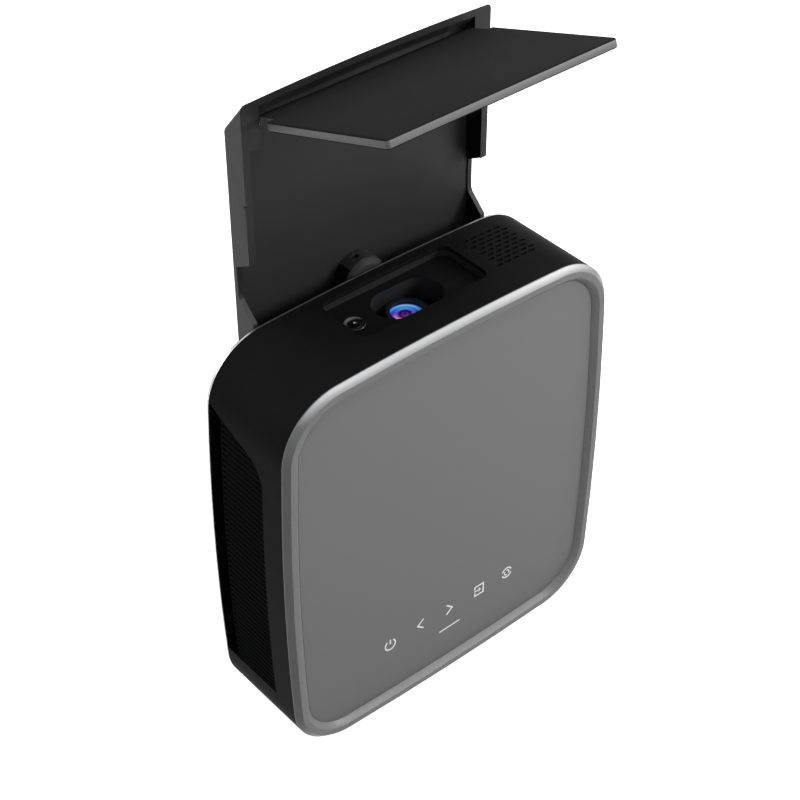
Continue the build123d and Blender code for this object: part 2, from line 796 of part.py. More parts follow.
hood_screws_at = [(sx * hood_screw_x, crown - drop) for sx in (-1, 1) for drop in hood_screw_drops]
socket_clear = 0.5
with BuildPart() as rear_cover:
    # corner posts, and bosses that the hood's screws bite into
    upright_circles(towers, post_radius, chassis_rear, cover_inside)
    upright_circles(hood_screws_at, post_radius, cover_inside - boss_reach, cover_inside)
    keep_inside(wall + 2 * seam, chassis_rear, cover_inside)
    outline_block(cover_edge, rear_y - cover_plate, rear_y)
    chamfer(faces().sort_by(Axis.Y)[-1].edges(), cover_edge)
    outline_block(vent_inset + vent_skin + seam, cover_inside, rear_y - cover_plate)
    upright_circles(hood_screws_at, screw_radius, cover_inside - boss_reach, rear_y, Mode.SUBTRACT)
    upright_circles([(boss_x, boss_z)], screw_radius, cover_inside, rear_y, Mode.SUBTRACT)
    upright_circles(towers, screw_radius + 0.2, chassis_rear, rear_y, Mode.SUBTRACT)
    upright_circles(towers, screw_head_radius + 0.2, rear_y - screw_head_depth, rear_y, Mode.SUBTRACT)
    # windows for the sockets
    upright_rectangle(hdmi_x, socket_z, hdmi_width + 2 * socket_clear, hdmi_height + 2 * socket_clear,
                      cover_inside, rear_y, Mode.SUBTRACT, 0.8)
    upright_rectangle(usb_x, socket_z, usb_width + 2 * socket_clear, usb_height + 2 * socket_clear,
                      cover_inside, rear_y, Mode.SUBTRACT, 0.8)
    upright_circles([(audio_x, socket_z)], audio_bush + socket_clear, cover_inside, rear_y, Mode.SUBTRACT)
    upright_circles([(power_in_x, socket_z)], power_bush + socket_clear, cover_inside, rear_y, Mode.SUBTRACT)
    # air slots behind the boards
    with BuildSketch(facing_front(cover_inside)):
        with Locations((0, intake_height - crown)):
            with GridLocations(intake_pitch, intake_length + intake_bridge, intake_columns, 2):
                Rectangle(intake_width, intake_length)
    extrude(amount=cover_inside - rear_y, mode=Mode.SUBTRACT)
save(rear_cover, "rear_cover")

with BuildPart() as cover_screws:
    upright_circles(towers, screw_radius, chassis_front - 7.0, rear_y - screw_head_depth)
    upright_circles(towers, screw_head_radius, rear_y - screw_head_depth, rear_y - 0.3)
    upright_circles(towers, screw_radius * 0.7, rear_y - 1.3, rear_y - 0.3, Mode.SUBTRACT)
save(cover_screws, "cover_screws")

# ================================================================ light engine and lens
engine_x = engine_left + engine_width / 2
engine_back = cover_inside - engine_clear
with BuildPart() as light_engine:
    upright_rectangle(engine_x, engine_z, engine_width, engine_height, chassis_rear, engine_back)
    fillet(edges().filter_by(Axis.Y), 3.0)
    chamfer(faces().sort_by(Axis.Y)[-1].edges(), 1.0)
    upright_rectangle(engine_x, engine_z, engine_width - 8, engine_height - 8,
                      engine_back - 1.0, engine_back, Mode.SUBTRACT, 2.0)
save(light_engine, "light_engine")

arm_z = engine_top + 13.0
arm_height = 4.0
nut_radius = 3.0
screw_x = lens_x + focus_screw_offset
with BuildPart() as lens_tube:
    with BuildSketch(level(engine_top)):
        with Locations((lens_x, lens_y)):
            Circle(tube_radius)
            Circle(cell_radius + cell_gap, mode=Mode.SUBTRACT)
    extrude(amount=tube_height)
    with BuildSketch(level(engine_top)):
        with Locations((lens_x, lens_y)):
            Circle(tube_radius + 0.8)
            Circle(cell_radius + cell_gap, mode=Mode.SUBTRACT)
    extrude(amount=2.0)
    # window that the focus arm moves in
    with BuildSketch(level(arm_z - focus_travel - 0.5)):
        with Locations((lens_x + tube_radius, lens_y)):
            Rectangle(8.0, 6.0)
    extrude(amount=arm_height + 2 * focus_travel + 1.0, mode=Mode.SUBTRACT)
save(lens_tube, "lens_tube")

seat_depth = 3.4
with BuildPart() as lens_cell:
    with BuildSketch(level(lens_z - cell_length)):
        with Locations((lens_x, lens_y)):
            Circle(cell_radius)
    extrude(amount=cell_length)
    chamfer(faces().sort_by(Axis.Z)[-1].edges(), 0.5)
    with BuildSketch(level(lens_z - cell_length)):
        with Locations((lens_x, lens_y)):
            Circle(glass_radius - 1.2)
    extrude(amount=cell_length, mode=Mode.SUBTRACT)
    with BuildSketch(level(lens_z - seat_depth)):
        with Locations((lens_x, lens_y)):
            Circle(glass_radius)
    extrude(amount=seat_depth, mode=Mode.SUBTRACT)
    # arm and nut for the focus screw
    with BuildSketch(level(arm_z)):
        with Locations(((lens_x + cell_radius - 0.6 + screw_x) / 2, lens_y)):
            Rectangle(screw_x - lens_x - cell_radius + 0.6, 5.0)
        with Locations((screw_x, lens_y)):
            Circle(nut_radius)
            Circle(focus_screw_radius + 0.08, mode=Mode.SUBTRACT)
    extrude(amount=arm_height)
save(lens_cell, "lens_cell")

with BuildPart() as front_lens:
    domed_disc(lens_x, lens_y, lens_z - seat_depth, glass_radius, 0.8, 2.4)
save(front_lens, "front_lens")

with BuildPart() as lens_ring:
    with BuildSketch(level(lens_z - seat_depth + 2.6)):
        with Locations((lens_x, lens_y)):
            Circle(glass_radius)
            Circle(glass_radius - 0.9, mode=Mode.SUBTRACT)
    extrude(amount=seat_depth - 2.6 - 0.1)
save(lens_ring, "lens_ring")

with BuildPart() as focus_motor:
    with BuildSketch(level(engine_top)):
        with Locations((screw_x, lens_y)):
            Circle(focus_motor_radius)
    extrude(amount=focus_motor_height)
    with BuildSketch(level(engine_top)):
        with Locations((screw_x, lens_y)):
            Circle(focus_screw_radius + 0.05)
    extrude(amount=focus_motor_height, mode=Mode.SUBTRACT)
save(focus_motor, "focus_motor")

with BuildPart() as focus_screw:
    with BuildSketch(level(engine_top + 0.3)):
        with Locations((screw_x, lens_y)):
            Circle(focus_screw_radius)
    extrude(amount=tube_height - 2.0)
save(focus_screw, "focus_screw")

# ================================================================ heat sink and fan
sink_right = engine_left
sink_depth = cover_inside - boss_reach - sink_clear - chassis_rear
with BuildPart() as heat_sink:
    upright_rectangle((sink_left + sink_right) / 2, fan_z, sink_length, fan_size,
                      chassis_rear, chassis_rear + sink_base)
    fin_step = (fan_size - fin_thickness) / (fin_count - 1)
    with BuildSketch(facing_front(chassis_rear + sink_base)):
        with Locations(((sink_left + sink_right) / 2, fan_z)):
            with GridLocations(1, fin_step, 1, fin_count):
                Rectangle(sink_length, fin_thickness)
    extrude(amount=sink_base - sink_depth)
save(heat_sink, "heat_sink")

fan_wheel = Plane(origin=(fan_left, fan_y, middle + fan_z), x_dir=(0, 1, 0), z_dir=(1, 0, 0))
with BuildPart() as fan_frame:
    with BuildSketch(fan_wheel):
        RectangleRounded(fan_size, fan_size, fan_corner)
        Circle(fan_bore, mode=Mode.SUBTRACT)
        with GridLocations(fan_hole_spread, fan_hole_spread, 2, 2):
            Circle(fan_hole, mode=Mode.SUBTRACT)
    extrude(amount=fan_thickness)
    # motor plate on three struts, with the pin that the rotor turns on
    with BuildSketch(fan_wheel.offset(fan_thickness - fan_motor_plate)):
        Circle(hub_radius)
        with PolarLocations(hub_radius + (fan_bore - hub_radius) / 2, 3, start_angle=30):
            Rectangle(fan_bore - hub_radius + 2 * fan_pin, strut_width)
    extrude(amount=fan_motor_plate)
    with BuildSketch(fan_wheel.offset(fan_pin_start)):
        Circle(fan_pin)
    extrude(amount=fan_thickness - fan_motor_plate - fan_pin_start)
save(fan_frame, "fan_frame")

blade_depth = fan_thickness - fan_motor_plate - 2 * rotor_gap
hub_sink = blade_thickness / 2
with BuildPart() as fan_rotor:
    with BuildSketch(fan_wheel.offset(rotor_gap)):
        Circle(hub_radius)
    extrude(amount=blade_depth)
    with BuildSketch(fan_wheel.offset(fan_pin_start - 0.2)):
        Circle(fan_pin + pin_gap)
    extrude(amount=blade_depth, mode=Mode.SUBTRACT)
    # each blade is a slanted plate that runs out from the hub
    for blade in range(blade_count):
        turn = radians(360 / blade_count * blade)
        out = Vector(0, cos(turn), sin(turn))
        fan_middle = Vector(fan_left + rotor_gap + blade_depth / 2, fan_y, middle + fan_z)
        root = fan_middle + out * (hub_radius - hub_sink)
        with BuildSketch(Plane(origin=root, x_dir=(1, 0, 0), z_dir=out)):
            Rectangle(blade_depth * 1.1, blade_thickness, rotation=blade_slant)
        extrude(amount=blade_tip - hub_radius + hub_sink)
save(fan_rotor, "fan_rotor")

# ================================================================ disc drive
case_front = drive_front
case_end = tray_end - tray_gap
tray_front = -tray_face
tray_back = tray_front + tray_depth
disc_floor = tray_front + disc_recess
skin_back = tray_front + tray_skin
case_inside = drive_width - 2 * case_skin
side_gap = (case_inside - tray_width) / 2


def across(x_from, x_to, z_from, z_to, y_from, y_to, mode=Mode.ADD):
    """Block between two x, two z (from the body's middle) and two depths."""
    upright_rectangle((x_from + x_to) / 2, (z_from + z_to) / 2, x_to - x_from, z_to - z_from,
                      y_from, y_to, mode)


with BuildPart() as drive_case:
    low = drive_middle - drive_width / 2
    high = drive_middle + drive_width / 2
    across(drive_left, case_end, low, high, case_front, drive_back)
    across(drive_left + case_skin, case_end, low + case_skin, high - case_skin,
           case_front + case_skin, drive_back - case_skin, Mode.SUBTRACT)
save(drive_case, "drive_case")

traverse_front = skin_back + 3.0
traverse_turn = radians(traverse_angle)
traverse = Plane(origin=(disc_x, 0, drive_z), x_dir=(-cos(traverse_turn), 0, -sin(traverse_turn)),
                 z_dir=(0, -1, 0))


def along_traverse(start, end, side_from, side_to, y_from, y_to, mode=Mode.ADD):
    """Block in the traverse's own directions: out from the spindle, and sideways."""
    with BuildSketch(traverse.offset(-y_from)) as face:
        with Locations(((start + end) / 2, (side_from + side_to) / 2)):
            Rectangle(end - start, side_to - side_from)
    extrude(face.sketch, amount=y_from - y_to, mode=mode)


def traverse_circles(places, radius, y_from, y_to, mode=Mode.ADD):
    with BuildSketch(traverse.offset(-y_from)) as face:
        with Locations(*places):
            Circle(radius)
    extrude(face.sketch, amount=y_from - y_to, mode=mode)


tray_start = drive_left + case_skin + tray_start_gap
with BuildPart() as disc_tray:
    z_low = drive_middle - tray_width / 2
    z_high = drive_middle + tray_width / 2
    across(tray_start, tray_end, z_low, z_high, tray_front, tray_back)
    fillet(edges().filter_by(Axis.Y).sort_by(Axis.X)[0:2], tray_corner)
    # dish for the disc
    upright_circles([(disc_x, drive_middle)], disc_radius, tray_front, disc_floor, Mode.SUBTRACT)
    # hollow behind, with a rim round the edge
    across(tray_start + tray_rim, tray_end - tray_rim, z_low + tray_rim, z_high - tray_rim,
           skin_back, tray_back, Mode.SUBTRACT)
    # window for the turntable and the pickup
    along_traverse(-window_start, window_end, -window_side, window_side + window_screw_side,
                   tray_front, skin_back, Mode.SUBTRACT)
    # four pads that the traverse plate is screwed to
    traverse_pads = [(-pad_start, pad_side), (-pad_start, -pad_side), (pad_end, -pad_side),
                     (pad_lead_end, pad_lead_side)]
    traverse_circles(traverse_pads, pad_radius, skin_back - pad_radius / 4, traverse_front)
save(disc_tray, "disc_tray")

with BuildPart() as drawer_front:
    drawer_opening(0, Mode.ADD)
    keep_inside(0, case_front - 1, drive_back + 1)
    button_z = drive_z - button_drop
    button_y = (drive_front + drive_back) / 2
    with BuildSketch(Plane.YZ.offset(tray_end)):
        with Locations((button_y, button_z)):
            Rectangle(button_height + 0.6, button_width + 0.6)
    extrude(amount=8, mode=Mode.SUBTRACT)
    with BuildSketch(Plane.YZ.offset(tray_end)):
        with Locations((button_y, button_z)):
            Rectangle(button_height + 2.8, button_width + 2.8)
    extrude(amount=2.4, mode=Mode.SUBTRACT)
save(drawer_front, "drawer_front")

button_face = body_width / 2 - side_radius + sqrt(side_radius ** 2 - (button_z - middle) ** 2) + 0.3
with BuildPart() as eject_button:
    with BuildSketch(Plane.YZ.offset(tray_end + button_travel + 0.2)):
        with Locations((button_y, button_z)):
            Rectangle(button_height + 2.0, button_width + 2.0)
    extrude(amount=1.0)
    with BuildSketch(Plane.YZ.offset(tray_end + button_travel + 0.2)):
        with Locations((button_y, button_z)):
            Rectangle(button_height, button_width)
    extrude(amount=button_face - tray_end - button_travel - 0.2)
    chamfer(faces().sort_by(Axis.X)[-1].edges(), 0.3)
save(eject_button, "eject_button")

rail_gap = (side_gap - rail_thickness) / 2
rail_y = (case_front + drive_back) / 2
with BuildPart() as slide_rails:
    for side in (-1, 1):
        z_rail = drive_middle + side * (tray_width / 2 + rail_gap + rail_thickness / 2)
        across(tray_start, tray_start + rail_length, z_rail - rail_thickness / 2, z_rail + rail_thickness / 2,
               rail_y - rail_height / 2, rail_y + rail_height / 2)
save(slide_rails, "slide_rails")

rod_y = traverse_front - rod_lift
with BuildPart() as traverse_plate:
    along_traverse(-traverse_margin, rod_end + holder, -traverse_low, traverse_high,
                   traverse_front, traverse_front + traverse_thickness)
    # rod holders and lead screw bearings stand on the plate
    for start in (rod_start, rod_end - holder):
        for side in (-rod_spread, rod_spread):
            along_traverse(start, start + holder, side - holder_side, side + holder_side,
                           rod_y - holder_rise, traverse_front)
    for start in (rod_start, screw_end - holder):
        along_traverse(start, start + holder, lead_screw_spread - holder, lead_screw_spread + holder,
                       rod_y - holder_rise - pin_gap, traverse_front)
    inside = tray_rim + 0.4
    across(tray_start + inside, tray_end - inside, z_low + inside, z_high - inside,
           tray_front, tray_back, Mode.INTERSECT)
    rod_ends = traverse.offset(-rod_y)
    for side, radius in ((-rod_spread, rod_radius), (rod_spread, rod_radius),
                         (lead_screw_spread, lead_screw_radius + 0.05)):
        with BuildSketch(Plane(origin=rod_ends.from_local_coords((rod_start - 1, side, 0)),
                               x_dir=(0, 1, 0), z_dir=rod_ends.x_dir)):
            Circle(radius)
        extrude(amount=rod_end - rod_start + 4, mode=Mode.SUBTRACT)
save(traverse_plate, "traverse_plate")


def rod_along(side, radius, start, end, mode=Mode.ADD):
    """Round bar that runs out from the spindle."""
    with BuildSketch(Plane(origin=rod_ends.from_local_coords((start, side, 0)),
                           x_dir=(0, 1, 0), z_dir=rod_ends.x_dir)) as section:
        Circle(radius)
    extrude(section.sketch, amount=end - start, mode=mode)


with BuildPart() as guide_rods:
    rod_along(-rod_spread, rod_radius, rod_start, rod_end)
    rod_along(rod_spread, rod_radius, rod_start, rod_end)
save(guide_rods, "guide_rods")

with BuildPart() as lead_screw:
    rod_along(lead_screw_spread, lead_screw_radius, rod_start - 1.0, screw_end)
save(lead_screw, "lead_screw")

with BuildPart() as sled_motor:
    rod_along(lead_screw_spread, sled_motor_radius, rod_start - 1.2 - sled_motor_length, rod_start - 1.2)
    # the can is flattened where it lies on the plate
    along_traverse(rod_start - 1.3 - sled_motor_length, rod_start - 1.1, lead_screw_spread - 4,
                   lead_screw_spread + 4, rod_y - 3, traverse_front, Mode.INTERSECT)
save(sled_motor, "sled_motor")

sled_front = rod_y - pickup_rise
with BuildPart() as pickup_sled:
    reach = rod_spread + pickup_edge
    along_traverse(pickup_start - pickup_length / 2, pickup_start + pickup_length / 2,
                   -reach, reach, sled_front, traverse_front - pickup_gap)
    # open jaw on the far rod, bore on the near one
    along_traverse(pickup_start - pickup_length / 2, pickup_start + pickup_length / 2,
                   -reach, -rod_spread + rod_radius + pin_gap, rod_y - rod_radius - pin_gap,
                   rod_y + rod_radius + pin_gap, Mode.SUBTRACT)
    rod_along(rod_spread, rod_radius + pin_gap, pickup_start - pickup_length, pickup_start + pickup_length,
              Mode.SUBTRACT)
    # finger that reaches under the lead screw
    along_traverse(pickup_start - pickup_edge, pickup_start + pickup_edge,
                   reach, lead_screw_spread + rod_radius,
                   rod_y + lead_screw_radius + 2 * pin_gap, traverse_front - pickup_gap)
    # well for the lens
    traverse_circles([(pickup_start, 0)], pickup_well_radius,
                     sled_front, sled_front + pickup_well, Mode.SUBTRACT)
save(pickup_sled, "pickup_sled")

with BuildPart() as pickup_lens:
    traverse_circles([(pickup_start, 0)], pickup_well_radius,
                     sled_front + pickup_gap, sled_front + pickup_well)
    traverse_circles([(pickup_start, 0)], pickup_lens_radius,
                     sled_front - pickup_gap / 2, sled_front + pickup_gap)
save(pickup_lens, "pickup_lens")

motor_front = traverse_front - spindle_motor_depth
with BuildPart() as spindle_motor:
    traverse_circles([(0, 0)], spindle_motor_radius - 0.6, motor_front, traverse_front)
    traverse_circles([(0, 0)], 1.05, motor_front, traverse_front - 0.6, Mode.SUBTRACT)
save(spindle_motor, "spindle_motor")

with BuildPart() as turntable:
    traverse_circles([(0, 0)], turntable_radius, motor_front - 1.4, motor_front - 0.3)
    traverse_circles([(0, 0)], hub_disc_radius, motor_front - 2.9, motor_front - 1.4)
    chamfer(faces().sort_by(Axis.Y)[0].edges(), 0.7)
    traverse_circles([(0, 0)], 1.0, motor_front - 1.4, traverse_front - 0.8)
save(turntable, "turntable")

# ================================================================ hood
slope = hood_fall / hood_depth
hood_bow = top_bow * (hood_width / 2 / corner_x) ** 2


def hood_outline(side_x, top, bottom, corner):
    """Front view of the hood: straight sides under a bowed top."""
    shoulder = top - hood_bow
    with BuildSketch(facing_front(hood_front)) as front:
        with BuildLine():
            ThreePointArc((-side_x, shoulder), (0, top), (side_x, shoulder))
            Polyline((side_x, shoulder), (side_x, bottom), (-side_x, bottom), (-side_x, shoulder))
        make_face()
        fillet(front.vertices().group_by(Axis.Z)[-1], corner)
    return front.sketch


def hood_block(side_x, top, bottom, depth, corner, mode=Mode.ADD):
    """Upright block with a top that slopes down to the rear along the hood's own slope."""
    split_z = notch_top + 2 * hood_fall
    extrude(hood_outline(side_x, top, split_z, corner), amount=depth * sqrt(1 + slope ** 2),
            dir=(0, 1, -slope), mode=mode)
    upright_rectangle(0, (bottom + split_z) / 2, 2 * side_x, split_z - bottom,
                      hood_front, hood_front + depth, mode)


def hood_side(points, x_from, x_to, mode=Mode.ADD, bend=0.0):
    """Shape drawn from the side (depth, height from the body's middle), across a stretch of x.

    A bend rounds the lower of the two corners that lie furthest back.
    """
    with BuildSketch(Plane.YZ.offset(x_from)) as side:
        with BuildLine():
            Polyline(*[(y, middle + z) for y, z in points], close=True)
        make_face()
        if bend:
            fillet(side.vertices().group_by(Axis.X)[-1].sort_by(Axis.Y)[0], bend)
    extrude(side.sketch, amount=x_to - x_from, mode=mode)


block_inner = flap_neck_half + 0.6
lip_under = hood_top - hood_lip - hood_bow
hood_posts = hood_screws_at + [(boss_x, boss_z)]
with BuildPart() as hood_shell:
    hood_block(hood_width / 2, hood_top, hood_bottom, hood_depth, hood_corner)
    fillet(edges().filter_by(Axis.Y).group_by(Axis.Z)[0], 6.0)
    hood_block(hood_inner, hood_top - hood_lip, hood_bottom + hood_wall,
               hood_depth - hood_plate, 0.8, Mode.SUBTRACT)
    # corner blocks under the top wall, over the hinge blocks
    for side in (-1, 1):
        ends = sorted((side * block_inner, side * (hood_inner + 0.5)))
        hood_side([(hood_front, hinge_block_top), (hood_front, lip_under + 1.0),
                   (hood_front + (lip_under + 1.0 - hinge_block_top) / slope, hinge_block_top)], *ends)
    # finger notches low in both side walls
    notch_back = plate_front - notch_rim
    notch_foot = crown - notch_sink
    hood_side([(hood_front - 1, notch_top), (hood_front, notch_top), (notch_back, notch_top - notch_slope),
               (notch_back, notch_bottom), (hood_front, notch_foot), (hood_front - 1, notch_foot)],
              -hood_width, hood_width, Mode.SUBTRACT, notch_bend)
    # the rim and the gusset under it are thinner than the side walls
    gusset_foot = hood_bottom + hood_wall
    hood_side([(hood_front, notch_top), (hood_front, gusset_foot),
               (plate_front, gusset_foot), (plate_front, notch_top)],
              gusset_wall - hood_width / 2, hood_width / 2 - gusset_wall, Mode.SUBTRACT)
    # round boss and screw posts between the plate and the rear cover
    upright_circles([(boss_x, boss_z)], boss_radius, hood_front, plate_front)
    chamfer(edges().filter_by(GeomType.CIRCLE).filter_by(lambda e: abs(e.radius - boss_radius) < 0.01)
            .group_by(Axis.Y)[0], boss_chamfer)
    upright_circles(hood_screws_at, post_radius, hood_front, plate_front)
    upright_circles(hood_posts, screw_radius + 0.2, hood_front, hood_rear, Mode.SUBTRACT)
    upright_circles(hood_posts, screw_head_radius + 0.2,
                    hood_rear - screw_head_depth, hood_rear, Mode.SUBTRACT)
    # hole in the boss's top for the grub screw
    with BuildSketch(level(middle + boss_z + boss_radius - grub_length - 1.2)):
        with Locations((boss_x - 1.5, hood_front + 6.0)):
            Circle(grub_radius)
    extrude(amount=grub_length + 3.0, mode=Mode.SUBTRACT)
save(hood_shell, "hood_shell")

with BuildPart() as grub_screw:
    with BuildSketch(level(middle + boss_z + boss_radius - grub_length - 1.2)):
        with Locations((boss_x - 1.5, hood_front + 6.0)):
            Circle(grub_radius)
    extrude(amount=grub_length)
    with BuildSketch(level(middle + boss_z + boss_radius - 2.2)):
        with Locations((boss_x - 1.5, hood_front + 6.0)):
            RegularPolygon(0.6, 6)
    extrude(amount=2.0, mode=Mode.SUBTRACT)
save(grub_screw, "grub_screw")

with BuildPart() as hood_screws:
    upright_circles(hood_screws_at, screw_radius,
                    cover_inside - boss_reach + 0.4, hood_rear - screw_head_depth)
    upright_circles([(boss_x, boss_z)], screw_radius, cover_inside, hood_rear - screw_head_depth)
    upright_circles(hood_posts, screw_head_radius, hood_rear - screw_head_depth, hood_rear - 0.3)
    upright_circles(hood_posts, screw_radius * 0.7, hood_rear - 1.3, hood_rear - 0.3, Mode.SUBTRACT)
save(hood_screws, "hood_screws")

# ================================================================ hinge
barrel = flap_thickness / 2


def hinge_rod(x_from, x_to, radius, mode=Mode.ADD):
    """Round bar or hole on the hinge's axis."""
    with BuildSketch(Plane(origin=(x_from, hinge_y, hinge_z), x_dir=(0, 1, 0), z_dir=(1, 0, 0))) as section:
        Circle(radius)
    extrude(section.sketch, amount=x_to - x_from, mode=mode)


block_gap = 0.1
slope_start = hood_front + (lip_under - hinge_block_top) / slope
for name, side in (("hinge_block_left", -1), ("hinge_block_right", 1)):
    with BuildPart() as hinge_block:
        ends = sorted((side * block_inner, side * (hood_inner - 0.01)))
        hood_side([(hood_front, hinge_block_bottom), (hood_front, hinge_block_top - block_gap),
                   (slope_start - 5 * block_gap, hinge_block_top - block_gap),
                   (plate_front - 0.01, lip_under - slope * (plate_front - hood_front) - 6 * block_gap),
                   (plate_front - 0.01, hinge_block_bottom)], *ends)
        fillet(hinge_block.edges().filter_by(Axis.X).group_by(Axis.Z)[0], 0.5)
        hinge_rod(-hood_inner - 1, hood_inner + 1, pin_radius + pin_gap, Mode.SUBTRACT)
    save(hinge_block, name)

washer_gap = 0.1
with BuildPart() as friction_washers:
    for side in (-1, 1):
        ends = sorted((side * (flap_neck_half + washer_gap), side * block_inner))
        hinge_rod(*ends, barrel - 0.1)
    hinge_rod(-hood_inner, hood_inner, pin_radius + pin_gap, Mode.SUBTRACT)
save(friction_washers, "friction_washers")

# ================================================================ mirror flap
rise = radians(flap_rise)
flap_plane = Plane(origin=(0, hinge_y, hinge_z), x_dir=(1, 0, 0), z_dir=(0, sin(rise), cos(rise)))
with BuildPart() as flap_cover:
    with BuildSketch(flap_plane.offset(-flap_thickness / 2)):
        with BuildLine():
            Polyline((-flap_neck_half, 0), (-flap_neck_half, -flap_neck), (-flap_shoulder_half, -flap_neck),
                     (-flap_front_half, -flap_reach), (flap_front_half, -flap_reach),
                     (flap_shoulder_half, -flap_neck), (flap_neck_half, -flap_neck), (flap_neck_half, 0),
                     close=True)
        make_face()
        fillet(vertices().group_by(Axis.Y)[0], 1.5)
    extrude(amount=flap_thickness)
    chamfer(faces().sort_by(Axis.Y)[0].edges().filter_by(Axis.X), flap_edge_round)
    hinge_rod(-flap_neck_half, flap_neck_half, barrel)
    for side in (-1, 1):
        ends = sorted((side * (flap_neck_half - pin_grip), side * (flap_neck_half + 1)))
        hinge_rod(*ends, pin_radius, Mode.SUBTRACT)
    with BuildSketch(flap_plane.offset(-flap_thickness / 2)):
        with Locations((0, -mirror_start - mirror_length / 2)):
            RectangleRounded(mirror_width + 2 * seam, mirror_length + 2 * seam, 1.5)
    extrude(amount=mirror_recess, mode=Mode.SUBTRACT)
save(flap_cover, "flap_cover")

with BuildPart() as mirror:
    with BuildSketch(flap_plane.offset(mirror_recess - flap_thickness / 2)):
        with Locations((0, -mirror_start - mirror_length / 2)):
            RectangleRounded(mirror_width, mirror_length, 1.4)
    extrude(amount=-mirror_thickness)
save(mirror, "mirror")

with BuildPart() as hinge_pins:
    for side in (-1, 1):
        ends = sorted((side * (flap_neck_half - pin_grip), side * (hood_inner - 0.3)))
        hinge_rod(*ends, pin_radius)
save(hinge_pins, "hinge_pins")
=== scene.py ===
"""Looks of an upright table projector with a mirror hood, a touch panel and a disc drawer.

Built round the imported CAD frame, in metres, from the chassis outwards, in the order of assembly.
"""
import json
from math import cos, pi, radians, sin

import bmesh
import bpy
from mathutils import Matrix, Vector


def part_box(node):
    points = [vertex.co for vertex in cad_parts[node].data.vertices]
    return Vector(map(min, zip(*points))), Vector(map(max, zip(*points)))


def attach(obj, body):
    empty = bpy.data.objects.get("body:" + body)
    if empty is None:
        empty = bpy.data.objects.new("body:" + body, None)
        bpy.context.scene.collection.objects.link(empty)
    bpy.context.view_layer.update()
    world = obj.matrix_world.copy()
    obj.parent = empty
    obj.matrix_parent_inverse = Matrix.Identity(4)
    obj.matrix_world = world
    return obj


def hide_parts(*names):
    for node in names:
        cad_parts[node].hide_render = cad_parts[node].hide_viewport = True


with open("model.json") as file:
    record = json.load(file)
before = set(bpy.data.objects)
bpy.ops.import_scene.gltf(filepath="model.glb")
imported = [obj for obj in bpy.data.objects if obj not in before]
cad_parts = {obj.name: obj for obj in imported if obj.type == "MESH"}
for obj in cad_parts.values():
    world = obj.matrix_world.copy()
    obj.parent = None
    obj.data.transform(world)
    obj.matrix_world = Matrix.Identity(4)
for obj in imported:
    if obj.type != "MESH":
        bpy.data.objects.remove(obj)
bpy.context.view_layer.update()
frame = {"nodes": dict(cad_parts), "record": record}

# ---------------------------------------------------------------- camera, lamps and floor
# The camera stands where the photograph was taken from, left of, ahead of and above the object.
# The lamps are plain soft boxes: a low key from the right, one above, a fill and a rear one at the left.
MM = 0.001
camera_place = Vector((-408.27, -472.72, 658.59)) * MM
camera_yaw = 40.263
camera_pitch = 39.316
camera_roll = 0.054
focal_pixels = 1893.05
picture_pixels = 800
sensor_mm = 36.0

camera_data = bpy.data.cameras.new("photo_camera")
camera_data.sensor_width = sensor_mm
camera_data.lens = focal_pixels / picture_pixels * sensor_mm
camera_data.clip_start = 0.01
camera_data.clip_end = 20
camera = bpy.data.objects.new("photo_camera", camera_data)
bpy.context.scene.collection.objects.link(camera)
turn_to_subject = Matrix.Rotation(radians(-camera_yaw), 4, "Z")
tip_down = Matrix.Rotation(radians(90 - camera_pitch), 4, "X")
lean = Matrix.Rotation(radians(-camera_roll), 4, "Z")
camera.matrix_world = Matrix.Translation(camera_place) @ turn_to_subject @ tip_down @ lean
bpy.context.scene.camera = camera
bpy.context.scene.view_settings.view_transform = "Standard"


def linear(hex_colour):
    """sRGB hex such as "808080" to the linear colour that a shader takes."""
    values = [int(hex_colour[i:i + 2], 16) / 255 for i in (0, 2, 4)]
    return [v / 12.92 if v <= 0.04045 else ((v + 0.055) / 1.055) ** 2.4 for v in values] + [1.0]


def put(tree, kind, sockets=None, **settings):
    """Adds one node. sockets gives each input a value or the socket that feeds it."""
    made = tree.nodes.new(kind)
    for name, value in settings.items():
        setattr(made, name, value)
    for name, value in (sockets or {}).items():
        if isinstance(value, bpy.types.NodeSocket):
            tree.links.new(value, made.inputs[name])
        else:
            made.inputs[name].default_value = value
    return made


body_middle = Vector((0, 0, 0.13))


def lamp(name, place, width, height, power):
    """Soft box that faces the middle of the body."""
    data = bpy.data.lights.new(name, "AREA")
    data.shape = "RECTANGLE"
    data.size = width
    data.size_y = height
    data.energy = power
    made = bpy.data.objects.new(name, data)
    bpy.context.scene.collection.objects.link(made)
    made.location = place
    made.rotation_mode = "QUATERNION"
    made.rotation_quaternion = (body_middle - Vector(place)).to_track_quat("-Z", "Y")


lamp("key_box", (0.95, -1.0, 0.7), 0.7, 0.6, 19)
lamp("top_box", (0.1, -0.2, 1.75), 0.9, 0.9, 22)
lamp("fill_box", (-1.6, -0.5, 0.6), 0.8, 1.0, 4.5)
lamp("rear_box", (-1.25, 1.2, 1.05), 0.8, 0.8, 9)

